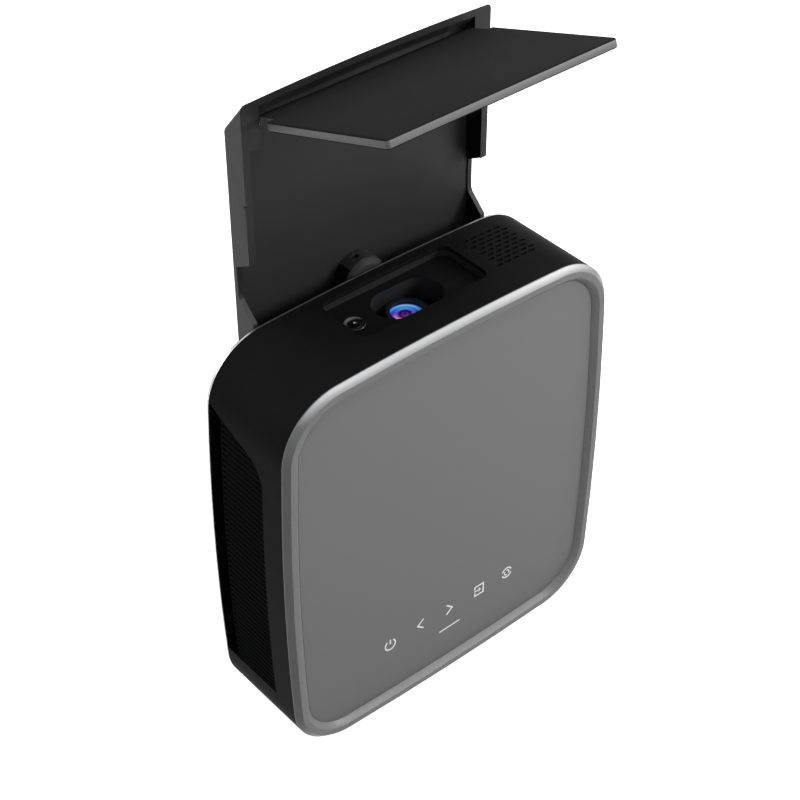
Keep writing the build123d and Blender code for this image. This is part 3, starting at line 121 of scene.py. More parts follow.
# the room gives a faint even light, and shows as white to the eye and in reflections
room_light = 0.15
world = bpy.data.worlds.new("studio")
bpy.context.scene.world = world
world.use_nodes = True
tree = world.node_tree
tree.nodes.clear()
path = put(tree, "ShaderNodeLightPath").outputs
seen = put(tree, "ShaderNodeMath", {0: path["Is Camera Ray"], 1: path["Is Glossy Ray"]}, operation="MAXIMUM")
seen_through = put(tree, "ShaderNodeMath", {0: seen.outputs[0], 1: path["Is Transmission Ray"]},
                   operation="MAXIMUM")
room = put(tree, "ShaderNodeBackground", {"Color": linear("ffffff"), "Strength": room_light})
white = put(tree, "ShaderNodeBackground", {"Color": linear("ffffff"), "Strength": 1.0})
either = put(tree, "ShaderNodeMixShader", {0: seen_through.outputs[0], 1: room.outputs[0],
                                           2: white.outputs[0]})
put(tree, "ShaderNodeOutputWorld", {"Surface": either.outputs[0]})

# the floor is white to the eye and keeps the shadow, and sends little light back at the object
floor_reach = 4
floor_glow = 0.9
corners = [(x * floor_reach, y * floor_reach, 0) for x, y in ((-1, -1), (1, -1), (1, 1), (-1, 1))]
floor_mesh = bpy.data.meshes.new("studio_floor")
floor_mesh.from_pydata(corners, [], [(0, 1, 2, 3)])
floor = bpy.data.objects.new("studio_floor", floor_mesh)
bpy.context.scene.collection.objects.link(floor)
floor_paint = bpy.data.materials.new("matt_white_floor")
floor_paint.use_nodes = True
tree = floor_paint.node_tree
tree.nodes.clear()
path = put(tree, "ShaderNodeLightPath").outputs
seen = put(tree, "ShaderNodeMath", {0: path["Is Camera Ray"], 1: path["Is Glossy Ray"]}, operation="MAXIMUM")
shaded = put(tree, "ShaderNodeBsdfDiffuse", {"Color": linear("404040")})
paint = put(tree, "ShaderNodeBsdfDiffuse", {"Color": linear("e0e0e0")})
glow = put(tree, "ShaderNodeEmission", {"Color": linear("ffffff"), "Strength": floor_glow})
glowing = put(tree, "ShaderNodeAddShader", {0: paint.outputs[0], 1: glow.outputs[0]})
either = put(tree, "ShaderNodeMixShader", {0: seen.outputs[0], 1: shaded.outputs[0], 2: glowing.outputs[0]})
put(tree, "ShaderNodeOutputMaterial", {"Surface": either.outputs[0]})
floor_mesh.materials.append(floor_paint)

# ---------------------------------------------------------------- chassis plate
# The chassis is a pressed sheet of zinc-plated steel that closes the shell's rear and carries the
# boards, the light engine and the disc drive.
nodes = frame["nodes"]


def surface(name, roughness, metallic=0.0, specular=0.5):
    """Material with a Principled shader, and its Object coordinates."""
    made = bpy.data.materials.new(name)
    made.use_nodes = True
    shader = made.node_tree.nodes["Principled BSDF"]
    shader.inputs["Roughness"].default_value = roughness
    shader.inputs["Metallic"].default_value = metallic
    shader.inputs["Specular IOR Level"].default_value = specular
    place = put(made.node_tree, "ShaderNodeTexCoord").outputs["Object"]
    return made, made.node_tree, shader, place


def lay(tree, shader, pattern, colours=None, roughness=None, depth=None):
    """Lays a pattern into a finish: two hex colours, a roughness range and a relief in millimetres."""
    if colours:
        mixed = put(tree, "ShaderNodeMix", {0: pattern, 6: linear(colours[0]), 7: linear(colours[1])},
                    data_type="RGBA")
        tree.links.new(mixed.outputs[2], shader.inputs["Base Color"])
    if roughness:
        spread = put(tree, "ShaderNodeMapRange", {"Value": pattern, "To Min": roughness[0],
                                                  "To Max": roughness[1]})
        tree.links.new(spread.outputs["Result"], shader.inputs["Roughness"])
    if depth:
        raised = put(tree, "ShaderNodeBump", {"Height": pattern, "Distance": depth * MM, "Strength": 1.0})
        tree.links.new(raised.outputs["Normal"], shader.inputs["Normal"])


def dress(material, *names):
    """Gives CAD nodes their finish."""
    for name in names:
        nodes[name].data.materials.clear()
        nodes[name].data.materials.append(material)


def metal(name, colours, roughness, grain, depth):
    """Metal with a crystalline or drawn tone of the given size in millimetres."""
    made, tree, shader, place = surface(name, roughness, metallic=1.0)
    cells = put(tree, "ShaderNodeTexVoronoi", {"Vector": place, "Scale": 1 / (grain * MM)})
    grey = put(tree, "ShaderNodeRGBToBW", {"Color": cells.outputs["Color"]})
    lay(tree, shader, grey.outputs[0], colours, (roughness * 0.8, roughness * 1.25))
    marks = put(tree, "ShaderNodeTexNoise", {"Vector": place, "Scale": 3 / (grain * MM), "Detail": 2.0})
    lay(tree, shader, marks.outputs["Fac"], depth=depth)
    return made


# zinc-plated steel sheet: faint grey spangle about 3 mm across, satin gloss
zinc_plated_steel = metal("zinc_plated_steel", ("9aa0a4", "b9bec1"), 0.38, 3.0, 0.01)
dress(zinc_plated_steel, "chassis_plate")

# ---------------------------------------------------------------- board posts and stand insert
# The boards stand off the chassis on turned brass posts. The insert for a camera stand's screw is
# turned from the same brass and pressed into the boss in the shell's floor.

# turned brass: warm yellow, with fine tool marks
turned_brass = metal("turned_brass", ("b08a3c", "caa554"), 0.28, 0.8, 0.005)
dress(turned_brass, "board_standoffs", "stand_insert")

# ---------------------------------------------------------------- circuit boards
# Fibreglass boards under a green solder mask, with copper tracks showing through it and black
# moulded chips on one face. Two stand on the posts and one lies behind the touch panel.
sheet_limit = 1.75      # mm, a little over a bare board's thickness
track_pitch = 2.4       # mm, drawn coarse so that the tracks show


def board(place_of_use, mask_low, mask_high):
    """Solder-masked board: lighter green tracks, and black wherever it is thicker than a bare board."""
    node = place_of_use + "_board"
    low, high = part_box(node)
    made, tree, shader, place = surface("solder_mask_" + place_of_use, 0.35)
    turned = put(tree, "ShaderNodeMapping", {"Vector": place, "Rotation": (pi / 2, 0, 0)})
    tracks = put(tree, "ShaderNodeTexBrick", {"Vector": turned.outputs[0], "Scale": 1 / (track_pitch * MM),
                                              "Mortar Size": 0.09, "Mortar Smooth": 0.2,
                                              "Brick Width": 3.1, "Row Height": 0.7})
    green = put(tree, "ShaderNodeMix", {0: tracks.outputs["Fac"], 6: linear(mask_low), 7: linear(mask_high)},
                data_type="RGBA")
    depth = put(tree, "ShaderNodeSeparateXYZ", {"Vector": place})
    bare_face = low[1] if node == "touch_board" else high[1]
    away = put(tree, "ShaderNodeMath", {0: depth.outputs["Y"], 1: bare_face}, operation="SUBTRACT")
    far = put(tree, "ShaderNodeMath", {0: away.outputs[0]}, operation="ABSOLUTE")
    raised = put(tree, "ShaderNodeMath", {0: far.outputs[0], 1: sheet_limit * MM}, operation="GREATER_THAN")
    mixed = put(tree, "ShaderNodeMix", {0: raised.outputs[0], 6: green.outputs[2], 7: linear("15161a")},
                data_type="RGBA")
    tree.links.new(mixed.outputs[2], shader.inputs["Base Color"])
    lay(tree, shader, tracks.outputs["Fac"], depth=0.03)
    dress(made, node)


board("main", "0e3a22", "1c5a35")
board("power", "12402a", "226040")
board("touch", "0e3a22", "1c5a35")

# ---------------------------------------------------------------- sockets
# The video and USB sockets are folded from nickel-plated steel, the sound and power sockets moulded in
# black nylon. All four are soldered to the boards and reach through the rear cover.

# nickel-plated steel: brighter and smoother than the chassis sheet
nickel_plated_steel = metal("nickel_plated_steel", ("a9aaac", "c8c9ca"), 0.22, 1.2, 0.004)
dress(nickel_plated_steel, "video_socket", "usb_socket")

flow_clouds = 22.0      # mm across, the faint clouds of a moulding's colour


def plastic(name, colours, roughness, grain, depth, specular):
    """Moulded plastic: faint flow clouds in the colour, a spark-eroded grain and an uneven gloss.

    grain is the size of the mould's texture in millimetres, drawn coarse enough to show.
    """
    made, tree, shader, place = surface(name, roughness, specular=specular)
    clouds = put(tree, "ShaderNodeTexNoise", {"Vector": place, "Scale": 1 / (flow_clouds * MM),
                                              "Detail": 3.0})
    lay(tree, shader, clouds.outputs["Fac"], colours)
    pits = put(tree, "ShaderNodeTexNoise", {"Vector": place, "Scale": 1 / (grain * MM), "Detail": 1.0})
    lay(tree, shader, pits.outputs["Fac"], roughness=(roughness - 0.06, roughness + 0.08), depth=depth)
    return made


# glass-filled black nylon: dull, slightly open surface
black_nylon = plastic("black_nylon", ("101113", "16171a"), 0.55, 0.5, 0.02, 0.3)
dress(black_nylon, "audio_socket", "power_socket")

# ---------------------------------------------------------------- fan
# A small axial fan sits beside the heat sink, on a frame that carries its motor plate and pin. The
# frame is one moulding in black nylon, and the rotor's hub and blades are another.
dress(black_nylon, "fan_frame", "fan_rotor")

# ---------------------------------------------------------------- heat sink and light engine
# The heat sink is extruded aluminium with sawn fins, and the light engine a die-cast magnesium box.
# Both are left bare, so they show pale grey metal with fine drawing lines along the extrusion.
extruded_aluminium, tree, shader, place = surface("extruded_aluminium", 0.36, metallic=1.0)
drawn = put(tree, "ShaderNodeMapping", {"Vector": place, "Scale": (1.0, 1.0, 0.02)})
lines = put(tree, "ShaderNodeTexNoise", {"Vector": drawn.outputs[0], "Scale": 1 / (0.5 * MM), "Detail": 2.0})
lay(tree, shader, lines.outputs["Fac"], ("9b9da0", "c4c6c8"), depth=0.01)
dress(extruded_aluminium, "heat_sink", "light_engine")

# ---------------------------------------------------------------- loudspeaker
# A paper cone in a black nylon box fires up through the grille, and the cone's fibres give it a
# felted grey.
pressed_paper, tree, shader, place = surface("pressed_paper_cone", 0.85, specular=0.2)
fibres = put(tree, "ShaderNodeTexNoise", {"Vector": place, "Scale": 1 / (0.8 * MM), "Detail": 4.0})
lay(tree, shader, fibres.outputs["Fac"], ("1b1b1c", "2c2c2d"), depth=0.05)
dress(pressed_paper, "speaker_driver")
dress(black_nylon, "speaker_box")

# ---------------------------------------------------------------- disc drive
# A frame of zinc-plated sheet carries the moulded drawer on steel rails. On the drawer's traverse
# plate the pick-up slides on ground rods, driven by a brass lead screw, beside the turntable.

# satin black ABS: near black, smoother than the casing's
drawer_plastic = plastic("satin_black_abs", ("131416", "191a1d"), 0.42, 0.4, 0.012, 0.4)
dress(drawer_plastic, "disc_tray")
dress(zinc_plated_steel, "drive_case", "traverse_plate", "slide_rails", "spindle_motor", "sled_motor")
dress(nickel_plated_steel, "guide_rods")
dress(turned_brass, "lead_screw")
dress(black_nylon, "turntable", "pickup_sled")

# objective lens of the pick-up: clear moulded polymer that looks pale violet from its coating
pickup_glass, tree, shader, place = surface("coated_polymer_lens", 0.06, specular=0.8)
tints = put(tree, "ShaderNodeTexNoise", {"Vector": place, "Scale": 1 / (2.0 * MM), "Detail": 2.0})
lay(tree, shader, tints.outputs["Fac"], ("3a3566", "6a63a8"))
dress(pickup_glass, "pickup_lens")

# ---------------------------------------------------------------- side shell
# The body's black wall is one moulding in ABS with a fine satin grain. Its edges are eased where the
# mould closes, so a bevel rounds them here.
body_of = {name: body for body, members in frame["record"]["behaviour"]["bodies"].items() for name in members}
merge_gap = 0.01        # mm, the CAD mesh's loose triangles are joined within this
flat_limit = 0.5        # degrees between faces that are one flat face
sharp_limit = 32        # degrees from which an edge is sharp


def eased(node, width, *materials):
    """Copy of a CAD node's mesh with merged corners, smooth rounds and eased convex edges, in its place."""
    mesh = nodes[node].data.copy()
    mesh.materials.clear()
    for material in materials:
        mesh.materials.append(material)
    shape = bmesh.new()
    shape.from_mesh(mesh)
    bmesh.ops.remove_doubles(shape, verts=shape.verts, dist=merge_gap * MM)
    bmesh.ops.dissolve_limit(shape, angle_limit=radians(flat_limit), verts=shape.verts, edges=shape.edges)
    for face in shape.faces:
        face.smooth = True
        face.material_index = 0
    weight = shape.edges.layers.float.new("bevel_weight_edge")
    for edge in shape.edges:
        edge[weight] = float(edge.calc_face_angle_signed(0) > radians(sharp_limit))
    shape.to_mesh(mesh)
    shape.free()
    mesh.set_sharp_from_angle(angle=radians(sharp_limit))
    piece = bpy.data.objects.new(node + "_eased", mesh)
    bpy.context.scene.collection.objects.link(piece)
    if width:
        rounding = piece.modifiers.new("eased_edges", "BEVEL")
        rounding.width = width * MM
        rounding.segments = 2
        rounding.limit_method = "WEIGHT"
        rounding.harden_normals = True
    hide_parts(node)
    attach(piece, body_of[node])
    return piece


# satin black ABS: near black with a soft sheen and a grain of about 0.4 mm
satin_black_abs = plastic("satin_black_shell_abs", ("151516", "19191a"), 0.5, 0.4, 0.006, 0.012)
eased("main_shell", 0.25, satin_black_abs)

# ---------------------------------------------------------------- drawer front and eject button
# The drawer's front closes the slot in the right side and is moulded in the shell's own ABS, so that it
# disappears in it. The eject button is a small loose moulding in the same plastic, held in that front.
dress(satin_black_abs, "drawer_front", "eject_button")

# ---------------------------------------------------------------- top recess and grille
# The recess round the lens is a separate moulding in charcoal ABS, clipped in from inside. The
# grille is a thin moulded plate with staggered slots over the loudspeaker.


def deepened(material, reading, axis, start, end, colour):
    """Turns a finish towards a hex colour where a coordinate runs from start to end along an axis."""
    tree = material.node_tree
    colour_socket = tree.nodes["Principled BSDF"].inputs["Base Color"]
    plain = colour_socket.links[0].from_socket
    place = put(tree, "ShaderNodeTexCoord").outputs[reading]
    split = put(tree, "ShaderNodeSeparateXYZ", {"Vector": place})
    reach = put(tree, "ShaderNodeMapRange", {"Value": split.outputs[axis], "From Min": start,
                                             "From Max": end})
    mixed = put(tree, "ShaderNodeMix", {0: reach.outputs["Result"], 6: plain, 7: linear(colour)},
                data_type="RGBA")
    tree.links.new(mixed.outputs[2], colour_socket)


# charcoal ABS, with painted shade that turns its level faces a deeper black
recess_charcoal = plastic("recess_charcoal_abs", ("242425", "2a2a2b"), 0.55, 0.45, 0.01, 0.08)
deepened(recess_charcoal, "Normal", "Z", 0.5, 0.9, "111112")
dress(recess_charcoal, "top_bay")
dress(satin_black_abs, "speaker_grille")

# ---------------------------------------------------------------- remote receiver
# The receiver looks out beside the lens through a smoky dome, in a gloss black ring that is pushed
# into the recess.

# smoky polycarbonate: nearly black, with a painted highlight as a pale spot at the dome's top
low, high = (Vector(corner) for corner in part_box("sensor_lens"))
dome_top = ((low.x + high.x) / 2, (low.y + high.y) / 2, high.z)
glint_radius, glint_core = 0.65, 0.4
smoky_dome, tree, shader, place = surface("smoky_polycarbonate", 0.05, specular=0.3)
apart = put(tree, "ShaderNodeVectorMath", {0: place, 1: dome_top}, operation="DISTANCE")
glint = put(tree, "ShaderNodeMapRange", {"Value": apart.outputs["Value"], "From Min": glint_radius * MM,
                                       "From Max": glint_core * MM})
lay(tree, shader, glint.outputs["Result"], ("0a080c", "b4b4b6"))
dress(smoky_dome, "sensor_lens")

# gloss black ABS, with a painted highlight that lightens it towards the ring's rear edge
low, high = (Vector(corner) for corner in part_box("sensor_bezel"))
gloss_black_ring, tree, shader, place = surface("gloss_black_ring", 0.25, specular=0.3)
split = put(tree, "ShaderNodeSeparateXYZ", {"Vector": place})
rearward_reflection = put(tree, "ShaderNodeMapRange", {"Value": split.outputs["Y"], "From Min": (low.y + high.y) / 2,
                                            "From Max": high.y})
lay(tree, shader, rearward_reflection.outputs["Result"], ("161617", "8c8c8e"))
dress(gloss_black_ring, "sensor_bezel")

# ---------------------------------------------------------------- projection lens
# Polished glass with a multi-layer coating, in a black nylon cell that a small motor's screw lifts
# and lowers in its tube. The coating's coloured reflections are painted on the glass and also glow.
dress(black_nylon, "lens_cell", "lens_tube", "lens_ring")
dress(zinc_plated_steel, "focus_motor")
dress(nickel_plated_steel, "focus_screw")

# painted reflections of the coating on optical glass: cyan behind, blue and violet at its middle and
# pink in front, round a dark pupil
low, high = (Vector(corner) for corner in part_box("front_lens"))
lens_centre = (low + high) / 2
lens_radius = (high.x - low.x) / 2
glow_shift = Vector((-1.4, 0, 0)) * MM
glow_spread = 1.2
glow_strength = 0.7
hue_way = (0.6, 0.8, 0.0)
hue_stops = ((0.3, "f6c0f2"), (0.48, "c46cec"), (0.6, "5a5cf0"), (0.74, "46b8ff"), (0.95, "b8f0ff"))
reflection_ring_stops = ((0.0, "101018"), (0.1, "8c6c9c"), (0.24, "241a30"), (0.4, "f0e4fc"), (0.56, "a098d0"),
              (0.72, "e0e4ff"), (0.84, "7078b8"), (0.94, "181834"), (1.0, "08080c"))

coated_glass, tree, shader, place = surface("coated_optical_glass", 0.07, metallic=0.85, specular=0.8)
centred = put(tree, "ShaderNodeMapping", {"Vector": place, "Location": -(lens_centre + glow_shift)})
split = put(tree, "ShaderNodeSeparateXYZ", {"Vector": centred.outputs[0]})
level = put(tree, "ShaderNodeCombineXYZ", {"X": split.outputs["X"], "Y": split.outputs["Y"]})
away = put(tree, "ShaderNodeVectorMath", {0: level.outputs[0]}, operation="LENGTH")
share = put(tree, "ShaderNodeMath", {0: away.outputs["Value"], 1: lens_radius * glow_spread},
            operation="DIVIDE")
along = put(tree, "ShaderNodeVectorMath", {0: centred.outputs[0], 1: hue_way}, operation="DOT_PRODUCT")
rearward_reflection = put(tree, "ShaderNodeMapRange", {"Value": along.outputs["Value"], "From Min": -lens_radius,
                                            "From Max": lens_radius})
hue = put(tree, "ShaderNodeValToRGB", {"Fac": rearward_reflection.outputs["Result"]})
reflection_rings = put(tree, "ShaderNodeValToRGB", {"Fac": share.outputs[0]})
for ramp, stops in ((hue, hue_stops), (reflection_rings, reflection_ring_stops)):
    elements = ramp.color_ramp.elements
    for element, (position, colour) in zip(elements, (stops[0], stops[-1])):
        element.position = position
        element.color = linear(colour)
    for position, colour in stops[1:-1]:
        elements.new(position).color = linear(colour)
coating = put(tree, "ShaderNodeMix", {0: 1.0, 6: hue.outputs["Color"], 7: reflection_rings.outputs["Color"]},
              data_type="RGBA", blend_type="MULTIPLY")
tree.links.new(coating.outputs[2], shader.inputs["Base Color"])
# the painted reflections also shine as a faint glow
tree.links.new(coating.outputs[2], shader.inputs["Emission Color"])
shader.inputs["Emission Strength"].default_value = glow_strength
dress(coated_glass, "front_lens")

# ---------------------------------------------------------------- side vent
# The vent on the left is a matt black grille, set into the shell, with slots along the body's depth.
# Thin louvre blades stand behind the slots and hide most of the inside.
vent_low, vent_high = (Vector(corner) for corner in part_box("left_vent"))
blade_pitch = 2.95
blade_width = 2.2
blade_thickness = 0.5
blade_tilt = 35.0
blade_setback = 2.6     # mm from the vent's outer face to a blade's middle
blade_foot = 2.0        # mm from the vent's lowest corner to the first blade
blade_headroom = 40.0   # mm at the vent's top that stays without blades
blade_clearance = 14.0  # mm by which a blade is shorter than the vent is deep
blade_shift = 4.0       # mm forwards of the vent's middle
slots_end = 16.6        # mm behind the frame's origin

blade_tree = bpy.data.node_groups.new("louvre_blades", "GeometryNodeTree")
for name, kind in (("Pitch", "NodeSocketFloat"), ("Width", "NodeSocketFloat"),
                   ("Thickness", "NodeSocketFloat"), ("Length", "NodeSocketFloat"),
                   ("Tilt", "NodeSocketFloat"), ("Count", "NodeSocketInt"),
                   ("Start", "NodeSocketVector"), ("Finish", "NodeSocketMaterial")):
    blade_tree.interface.new_socket(name, in_out="INPUT", socket_type=kind)
blade_tree.interface.new_socket("Geometry", in_out="OUTPUT", socket_type="NodeSocketGeometry")
given = put(blade_tree, "NodeGroupInput").outputs
step = put(blade_tree, "ShaderNodeCombineXYZ", {"Z": given["Pitch"]})
places = put(blade_tree, "GeometryNodeMeshLine", {"Count": given["Count"], "Start Location": given["Start"],
                                                  "Offset": step.outputs[0]})
blade_size = put(blade_tree, "ShaderNodeCombineXYZ", {"X": given["Width"], "Y": given["Length"],
                                                      "Z": given["Thickness"]})
blade = put(blade_tree, "GeometryNodeMeshCube", {"Size": blade_size.outputs[0], "Vertices Y": 3})
turn = put(blade_tree, "ShaderNodeCombineXYZ", {"Y": given["Tilt"]})
row = put(blade_tree, "GeometryNodeInstanceOnPoints", {"Points": places.outputs[0],
                                                       "Instance": blade.outputs[0],
                                                       "Rotation": turn.outputs[0]})
real = put(blade_tree, "GeometryNodeRealizeInstances", {"Geometry": row.outputs[0]})
finished = put(blade_tree, "GeometryNodeSetMaterial", {"Geometry": real.outputs[0],
                                                       "Material": given["Finish"]})
put(blade_tree, "NodeGroupOutput", {"Geometry": finished.outputs[0]})


def grown(name, node_tree, values):
    """Plain mesh object made by a Geometry Nodes tree with the given inputs."""
    seed = bpy.data.objects.new(name + "_seed", bpy.data.meshes.new(name + "_seed"))
    bpy.context.scene.collection.objects.link(seed)
    maker = seed.modifiers.new("maker", "NODES")
    maker.node_group = node_tree
    sockets = {item.name: item.identifier for item in node_tree.interface.items_tree
               if item.in_out == "INPUT"}
    for key, value in values.items():
        maker[sockets[key]] = value
    graph = bpy.context.evaluated_depsgraph_get()
    mesh = bpy.data.meshes.new_from_object(seed.evaluated_get(graph), depsgraph=graph)
    seed.modifiers.clear()
    bpy.data.objects.remove(seed)
    mesh.name = name
    made = bpy.data.objects.new(name, mesh)
    bpy.context.scene.collection.objects.link(made)
    return made


# matt black nylon for the blades, darker than all round it
matt_black_louvres = plastic("matt_black_louvres", ("050505", "070707"), 0.65, 0.5, 0.01, 0.02)
blades = grown("vent_blades", blade_tree, {
    "Pitch": blade_pitch * MM,
    "Width": blade_width * MM,
    "Thickness": blade_thickness * MM,
    "Length": vent_high.y - vent_low.y - blade_clearance * MM,
    "Tilt": radians(blade_tilt),
    "Count": int((vent_high.z - vent_low.z - blade_headroom * MM) / (blade_pitch * MM)),
    "Start": (vent_low.x + blade_setback * MM, (vent_low.y + vent_high.y) / 2 - blade_shift * MM,
              vent_low.z + blade_foot * MM),
    "Finish": matt_black_louvres})
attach(blades, "root")

# matt black ABS without any sheen, and a deeper black on the plain margin behind the slots
matt_black_vent = plastic("matt_black_vent_abs", ("1c1c1c", "222222"), 0.65, 0.5, 0.01, 0.0)
deepened(matt_black_vent, "Object", "Y", slots_end * MM, (slots_end + 1) * MM, "060606")
dress(matt_black_vent, "left_vent")

# ---------------------------------------------------------------- rear cover and trim
# The rear cover is a flat moulding in matt black ABS with air slots and socket holes. A thin strip
# of bright anodised aluminium is held between it and the shell.
matt_black_abs = plastic("matt_black_abs", ("131314", "171718"), 0.6, 0.5, 0.012, 0.04)
dress(matt_black_abs, "rear_cover")

bright_anodised, tree, shader, place = surface("bright_anodised_aluminium", 0.3, metallic=1.0)
shades = put(tree, "ShaderNodeTexNoise", {"Vector": place, "Scale": 1 / (5.0 * MM), "Detail": 2.0})
lay(tree, shader, shades.outputs["Fac"], ("b4b6b8", "cfd1d2"))
dress(bright_anodised, "rear_trim")

# ---------------------------------------------------------------- feet
# Four feet of moulded rubber are pushed into the floor of the shell. Their skin is dull and slightly
# rough.
moulded_rubber, tree, shader, place = surface("moulded_rubber", 0.8, specular=0.25)
dust = put(tree, "ShaderNodeTexNoise", {"Vector": place, "Scale": 1 / (1.5 * MM), "Detail": 3.0})
lay(tree, shader, dust.outputs["Fac"], ("161616", "202020"))
skin = put(tree, "ShaderNodeTexNoise", {"Vector": place, "Scale": 1 / (0.7 * MM), "Detail": 2.0})
lay(tree, shader, skin.outputs["Fac"], depth=0.03)
dress(moulded_rubber, "rubber_feet")

# ---------------------------------------------------------------- front bezel
# The bezel is moulded, sprayed silver-grey and then cut along its outer edge into a bevel round a
# satin rim, and the bevel carries a painted highlight. Inside the rim a coved lip drops to the touch panel.
low, high = (Vector(corner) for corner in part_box("front_bezel"))
bezel_middle = (low.z + high.z) / 2
bevel_slant = (-0.93, -0.25)    # how far a bevel's face looks forwards
bevel_outward = 0.2             # and, at least, outwards
bevel_depth = 1.6               # mm behind the rim, over which the painted highlight grows
highlight_height = (12, 2)         # mm below the bezel's top, over which the painted highlight grows from the sides to the top


def sprayed(name, colours, roughness, metallic, specular):
    """Spray paint with fine aluminium flakes, drawn 0.5 mm wide so that they just show."""
    made, tree, shader, place = surface(name, roughness, metallic, specular)
    flakes = put(tree, "ShaderNodeTexVoronoi", {"Vector": place, "Scale": 1 / (0.5 * MM)})
    grey = put(tree, "ShaderNodeRGBToBW", {"Color": flakes.outputs["Color"]})
    lay(tree, shader, grey.outputs[0], colours, depth=0.002)
    return made


def painted(piece, which):
    """Gives each face of a piece the material that which(face) says."""
    shape = bmesh.new()
    shape.from_mesh(piece.data)
    for face in shape.faces:
        face.material_index = which(face)
    shape.to_mesh(piece.data)
    shape.free()


def is_bevel(face):
    """The slanted faces on the outside of the rim."""
    middle = face.calc_center_median()
    away = Vector((middle.x, 0, middle.z - bezel_middle)).normalized()
    return bevel_slant[0] < face.normal.y < bevel_slant[1] and face.normal.dot(away) > bevel_outward


silver_spray = sprayed("silver_grey_spray", ("656566", "707071"), 0.45, 0.2, 0.2)

# painted highlight on the cut bevel, lacquered: brightest at its outer edge along the top, duller at the
# sides
painted_highlight_bevel, tree, shader, place = surface("bright_cut_bevel", 0.35, specular=0.2)
split = put(tree, "ShaderNodeSeparateXYZ", {"Vector": place}).outputs
topmost = put(tree, "ShaderNodeMapRange", {"Value": split["Z"], "From Min": high.z - highlight_height[0] * MM,
                                           "From Max": high.z - highlight_height[1] * MM})
outer = put(tree, "ShaderNodeMapRange", {"Value": split["Y"], "From Min": low.y,
                                         "From Max": low.y + bevel_depth * MM, "To Min": 0.35})
shining = put(tree, "ShaderNodeMath", {0: topmost.outputs["Result"], 1: outer.outputs["Result"]},
              operation="MULTIPLY")
clouds = put(tree, "ShaderNodeTexNoise", {"Vector": place, "Scale": 1 / (1.2 * MM), "Detail": 2.0})
faint = put(tree, "ShaderNodeMath", {0: clouds.outputs["Fac"], 1: 0.1}, operation="MULTIPLY")
bright = put(tree, "ShaderNodeMath", {0: shining.outputs[0], 1: faint.outputs[0]}, operation="SUBTRACT")
lay(tree, shader, bright.outputs[0], ("6c6d6e", "c8c9ca"))
bezel = eased("front_bezel", 0.12, silver_spray, painted_highlight_bevel)
painted(bezel, lambda face: 1 if is_bevel(face) else 0)

# ---------------------------------------------------------------- touch panel
# The panel is a sheet of hard-coated acrylic, sprayed grey from behind and bonded into the bezel.
# Its coat is nearly smooth, with a fine speck that takes the mirror out of its gloss.
low, high = (Vector(corner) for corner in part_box("front_panel"))
panel_face = low.y
hard_coated_acrylic, tree, shader, place = surface("hard_coated_acrylic", 0.46, specular=0.3)
# painted light: the grey turns lighter towards the panel's top
split = put(tree, "ShaderNodeSeparateXYZ", {"Vector": place})
painted_light_upward = put(tree, "ShaderNodeMapRange", {"Value": split.outputs["Z"], "From Min": low.z, "From Max": high.z})
lay(tree, shader, painted_light_upward.outputs["Result"], ("59595a", "6a6a6b"))
speck = put(tree, "ShaderNodeTexNoise", {"Vector": place, "Scale": 1 / (0.45 * MM), "Detail": 1.0})
lay(tree, shader, speck.outputs["Fac"], roughness=(0.42, 0.5), depth=0.001)
eased("front_panel", 0, hard_coated_acrylic)

# ---------------------------------------------------------------- printed keys
# The touch keys are screen-printed on the panel in white ink: power, back, on, source and focus,
# with a short marker line under them. All places are in millimetres on the panel, as x and z.
ink_thickness = 0.05
stroke_width = 0.8
fine_stroke = 0.6
marker_stroke = 0.7
mitre_limit = 0.4
power_x, power_z = -34.0, 38.9
back_x, back_z = -16.2, 39.7
on_x, on_z = 1.1, 38.7
source_x, source_z = 19.3, 39.1
focus_x, focus_z = 36.6, 39.1
marker_x, marker_z = 1.45, 27.1
marker_length = 12.4
ring_radius = 2.9
chevron_width, chevron_height = 1.7, 2.9
source_width, source_height = 5.2, 5.6
focus_radius = 2.85
power_arc = (125, 415)              # degrees, round the gap at the top
power_stroke = (0.4, 3.3)           # above the ring's middle
source_gap = 1.0                    # half the opening in the box's left side
arrow_start, arrow_end = 0.4, 0.7   # left of the box, and right of its middle
head_back, head_tip, head_half = -0.3, 0.8, 1.0
focus_sweep = 140                   # degrees of each arc
inner_share, inner_turn = 0.5, -60  # the inner pair's radius, and degrees from the outer pair
marker_slant = 0.2


def ribbon(shape, points, width):
    """Open printed stroke along points (x, z), with mitred corners, just off the panel."""
    rows = []
    for i, (x, z) in enumerate(points):
        before = points[i - 1] if i else None
        after = points[i + 1] if i < len(points) - 1 else None
        way_in = Vector((x - before[0], z - before[1])).normalized() if before else None
        way_out = Vector((after[0] - x, after[1] - z)).normalized() if after else way_in
        way_in = way_in or way_out
        along = (way_in + way_out).normalized()
        reach = width / 2 / max(mitre_limit, along.dot(way_in))
        across = Vector((-along.y, along.x)) * reach
        sides = ((x + across.x, z + across.y), (x - across.x, z - across.y))
        rows.append([shape.verts.new((px * MM, panel_face - depth * MM, pz * MM))
                     for depth in (ink_thickness, -ink_thickness) for px, pz in sides])
    for (a, b, c, d), (e, f, g, h) in zip(rows, rows[1:]):
        shape.faces.new((a, b, f, e))
        shape.faces.new((c, g, h, d))
        shape.faces.new((a, e, g, c))
        shape.faces.new((b, d, h, f))
    for a, b, c, d in (rows[0], rows[-1]):
        shape.faces.new((a, c, d, b))


def arc(x, z, radius, start, end, steps=24):
    """Points on an arc about (x, z), with its angles in degrees."""
    return [(x + radius * cos(radians(start + (end - start) * i / steps)),
             z + radius * sin(radians(start + (end - start) * i / steps))) for i in range(steps + 1)]


shape = bmesh.new()
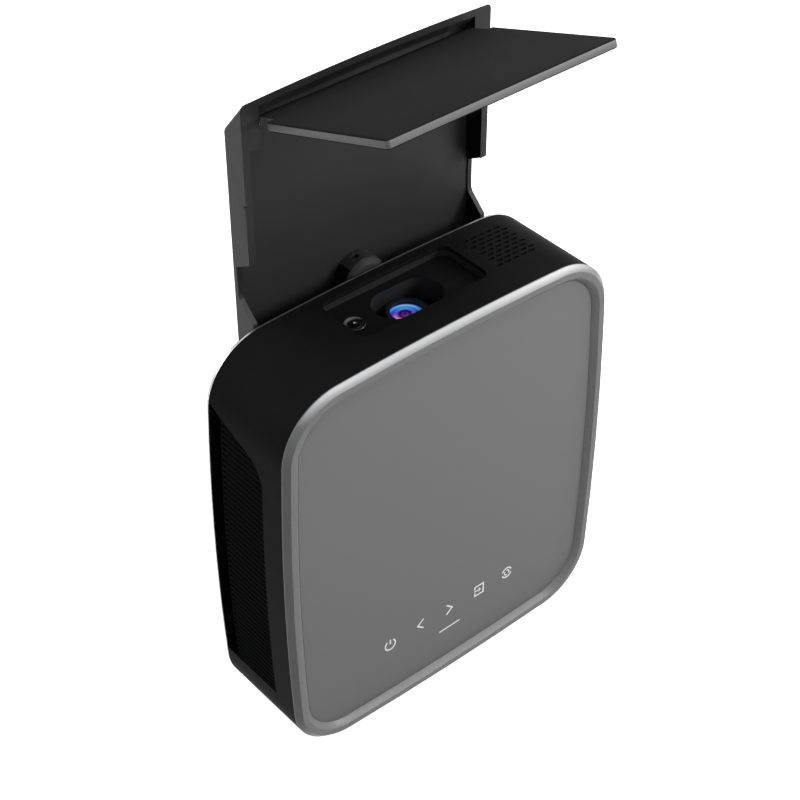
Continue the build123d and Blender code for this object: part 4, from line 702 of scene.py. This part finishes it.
# power: an open ring with an upright stroke in its gap
ribbon(shape, arc(power_x, power_z, ring_radius, *power_arc), stroke_width)
ribbon(shape, [(power_x, power_z + height) for height in power_stroke], stroke_width)
# back and on: chevrons
for x, z, way in ((back_x, back_z, 1), (on_x, on_z, -1)):
    ribbon(shape, [(x + way * chevron_width, z + chevron_height), (x - way * chevron_width, z),
                   (x + way * chevron_width, z - chevron_height)], stroke_width)
# source: an arrow into a box that is open at its left
left, right = source_x - source_width / 2, source_x + source_width / 2
foot, head = source_z - source_height / 2, source_z + source_height / 2
ribbon(shape, [(left, source_z + source_gap), (left, head), (right, head), (right, foot), (left, foot),
               (left, source_z - source_gap)], stroke_width)
ribbon(shape, [(left - arrow_start, source_z), (source_x + arrow_end, source_z)], fine_stroke)
ribbon(shape, [(source_x + head_back, source_z + head_half), (source_x + head_tip, source_z),
               (source_x + head_back, source_z - head_half)], fine_stroke)
# focus: two pairs of arcs, one inside the other
for start in (20, 200):
    ribbon(shape, arc(focus_x, focus_z, focus_radius, start, start + focus_sweep), stroke_width)
    turned = start + inner_turn
    inner = arc(focus_x, focus_z, focus_radius * inner_share, turned, turned + focus_sweep)
    ribbon(shape, inner, fine_stroke)
# marker line, with the photograph's slight slant
ribbon(shape, [(marker_x - marker_length / 2, marker_z - marker_slant),
               (marker_x + marker_length / 2, marker_z + marker_slant)], marker_stroke)
bmesh.ops.recalc_face_normals(shape, faces=shape.faces)
key_mesh = bpy.data.meshes.new("printed_keys")
shape.to_mesh(key_mesh)
shape.free()
keys = bpy.data.objects.new("printed_keys", key_mesh)
bpy.context.scene.collection.objects.link(keys)

# screen-printed ink: flat off-white with the faint unevenness of a mesh
screen_ink, tree, shader, place = surface("white_screen_ink", 0.6, specular=0.3)
mesh_marks = put(tree, "ShaderNodeTexNoise", {"Vector": place, "Scale": 1 / (0.4 * MM), "Detail": 2.0})
lay(tree, shader, mesh_marks.outputs["Fac"], ("eeeeee", "ffffff"))
key_mesh.materials.append(screen_ink)
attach(keys, "root")

# ---------------------------------------------------------------- mirror hood
# The hood is a flat moulded tray on the rear cover. Its outside and the front edges of its walls are
# sprayed gunmetal, and the plate and hinge blocks inside are left as moulded, in matt charcoal.
low, high = (Vector(corner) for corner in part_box("hood_shell"))
wall_zone = 50.0        # mm from the middle, outside which the side walls stand
plate_depth = 3.0       # mm from the hood's rear, behind which nothing is a wall's edge
skin_gap = 0.4          # mm within which a face counts as the hood's outside
rear_gap = 0.2          # mm within which a face counts as the hood's rear
edge_slant = -0.3       # a wall's front edge looks forwards at least this much
side_slant = 0.7        # and a wall's inner face sideways

gunmetal_spray = sprayed("gunmetal_spray", ("353536", "3d3d3e"), 0.5, 0.05, 0.15)
charcoal_abs = plastic("matt_charcoal_abs", ("252526", "2a2a2b"), 0.55, 0.45, 0.008, 0.15)
# the walls' inner faces are flocked black, so that no light from the lens is thrown back at the mirror
flocked_black = plastic("flocked_black_abs", ("080808", "0d0d0d"), 0.8, 0.6, 0.02, 0.02)
CHARCOAL, GUNMETAL, FLOCKED = range(3)


def hood_finish(face):
    """Gunmetal outside and on the walls' front edges, flock on the walls' inner faces, else charcoal."""
    middle = face.calc_center_median()
    before_plate = abs(middle.x) > wall_zone * MM and middle.y < high.y - plate_depth * MM
    outside = min(abs(middle.x - low.x), abs(middle.x - high.x), abs(middle.z - high.z)) < skin_gap * MM
    if outside or middle.y > high.y - rear_gap * MM or (before_plate and face.normal.y < edge_slant):
        return GUNMETAL
    return FLOCKED if abs(face.normal.x) > side_slant else CHARCOAL


hood = eased("hood_shell", 0.25, charcoal_abs, gunmetal_spray, flocked_black)
painted(hood, hood_finish)
dress(charcoal_abs, "hinge_block_left", "hinge_block_right")

# ---------------------------------------------------------------- screws
# The rear cover and the hood are held by blackened steel screws. A grub screw of the same steel sits
# in the top of the round boss between the hood's plate and the cover.

# blackened steel: dark, with a slight oily sheen
blackened_steel = metal("blackened_steel", ("2c2d2f", "3a3b3d"), 0.36, 1.0, 0.004)
dress(blackened_steel, "cover_screws", "hood_screws", "grub_screw")

# ---------------------------------------------------------------- flap and its mirror
# The flap is a thin lid on friction hinges at the hood's top, with ground steel pins and washers. It is
# charcoal on its upper face and sprayed on its edges, and carries the mirror on a bonded seat.
dress(nickel_plated_steel, "hinge_pins", "friction_washers")

flap_charcoal = plastic("flap_charcoal_abs", ("1b1b1c", "202021"), 0.7, 0.45, 0.006, 0.02)
# edge spray: gunmetal, in a lighter grey than on the hood
flap_edge_spray, tree, shader, place = surface("flap_edge_spray", 0.45, metallic=0.1, specular=0.3)
shades = put(tree, "ShaderNodeTexNoise", {"Vector": place, "Scale": 1 / (0.5 * MM), "Detail": 2.0})
lay(tree, shader, shades.outputs["Fac"], ("525253", "5c5c5d"))
flap = eased("flap_cover", 0.3, flap_charcoal, flap_edge_spray)
lid_normal = max(flap.data.polygons, key=lambda face: face.area).normal.copy()
painted(flap, lambda face: 0 if abs(face.normal.dot(lid_normal)) > 0.5 else 1)

# front-surface mirror: aluminium on ground glass, with faint dust in its gloss
silvered_glass, tree, shader, place = surface("front_surface_mirror", 0.03, metallic=1.0)
dust = put(tree, "ShaderNodeTexNoise", {"Vector": place, "Scale": 1 / (4.0 * MM), "Detail": 6.0})
lay(tree, shader, dust.outputs["Fac"], ("dfe4e8", "eef1f3"), (0.01, 0.06))
dress(silvered_glass, "mirror")
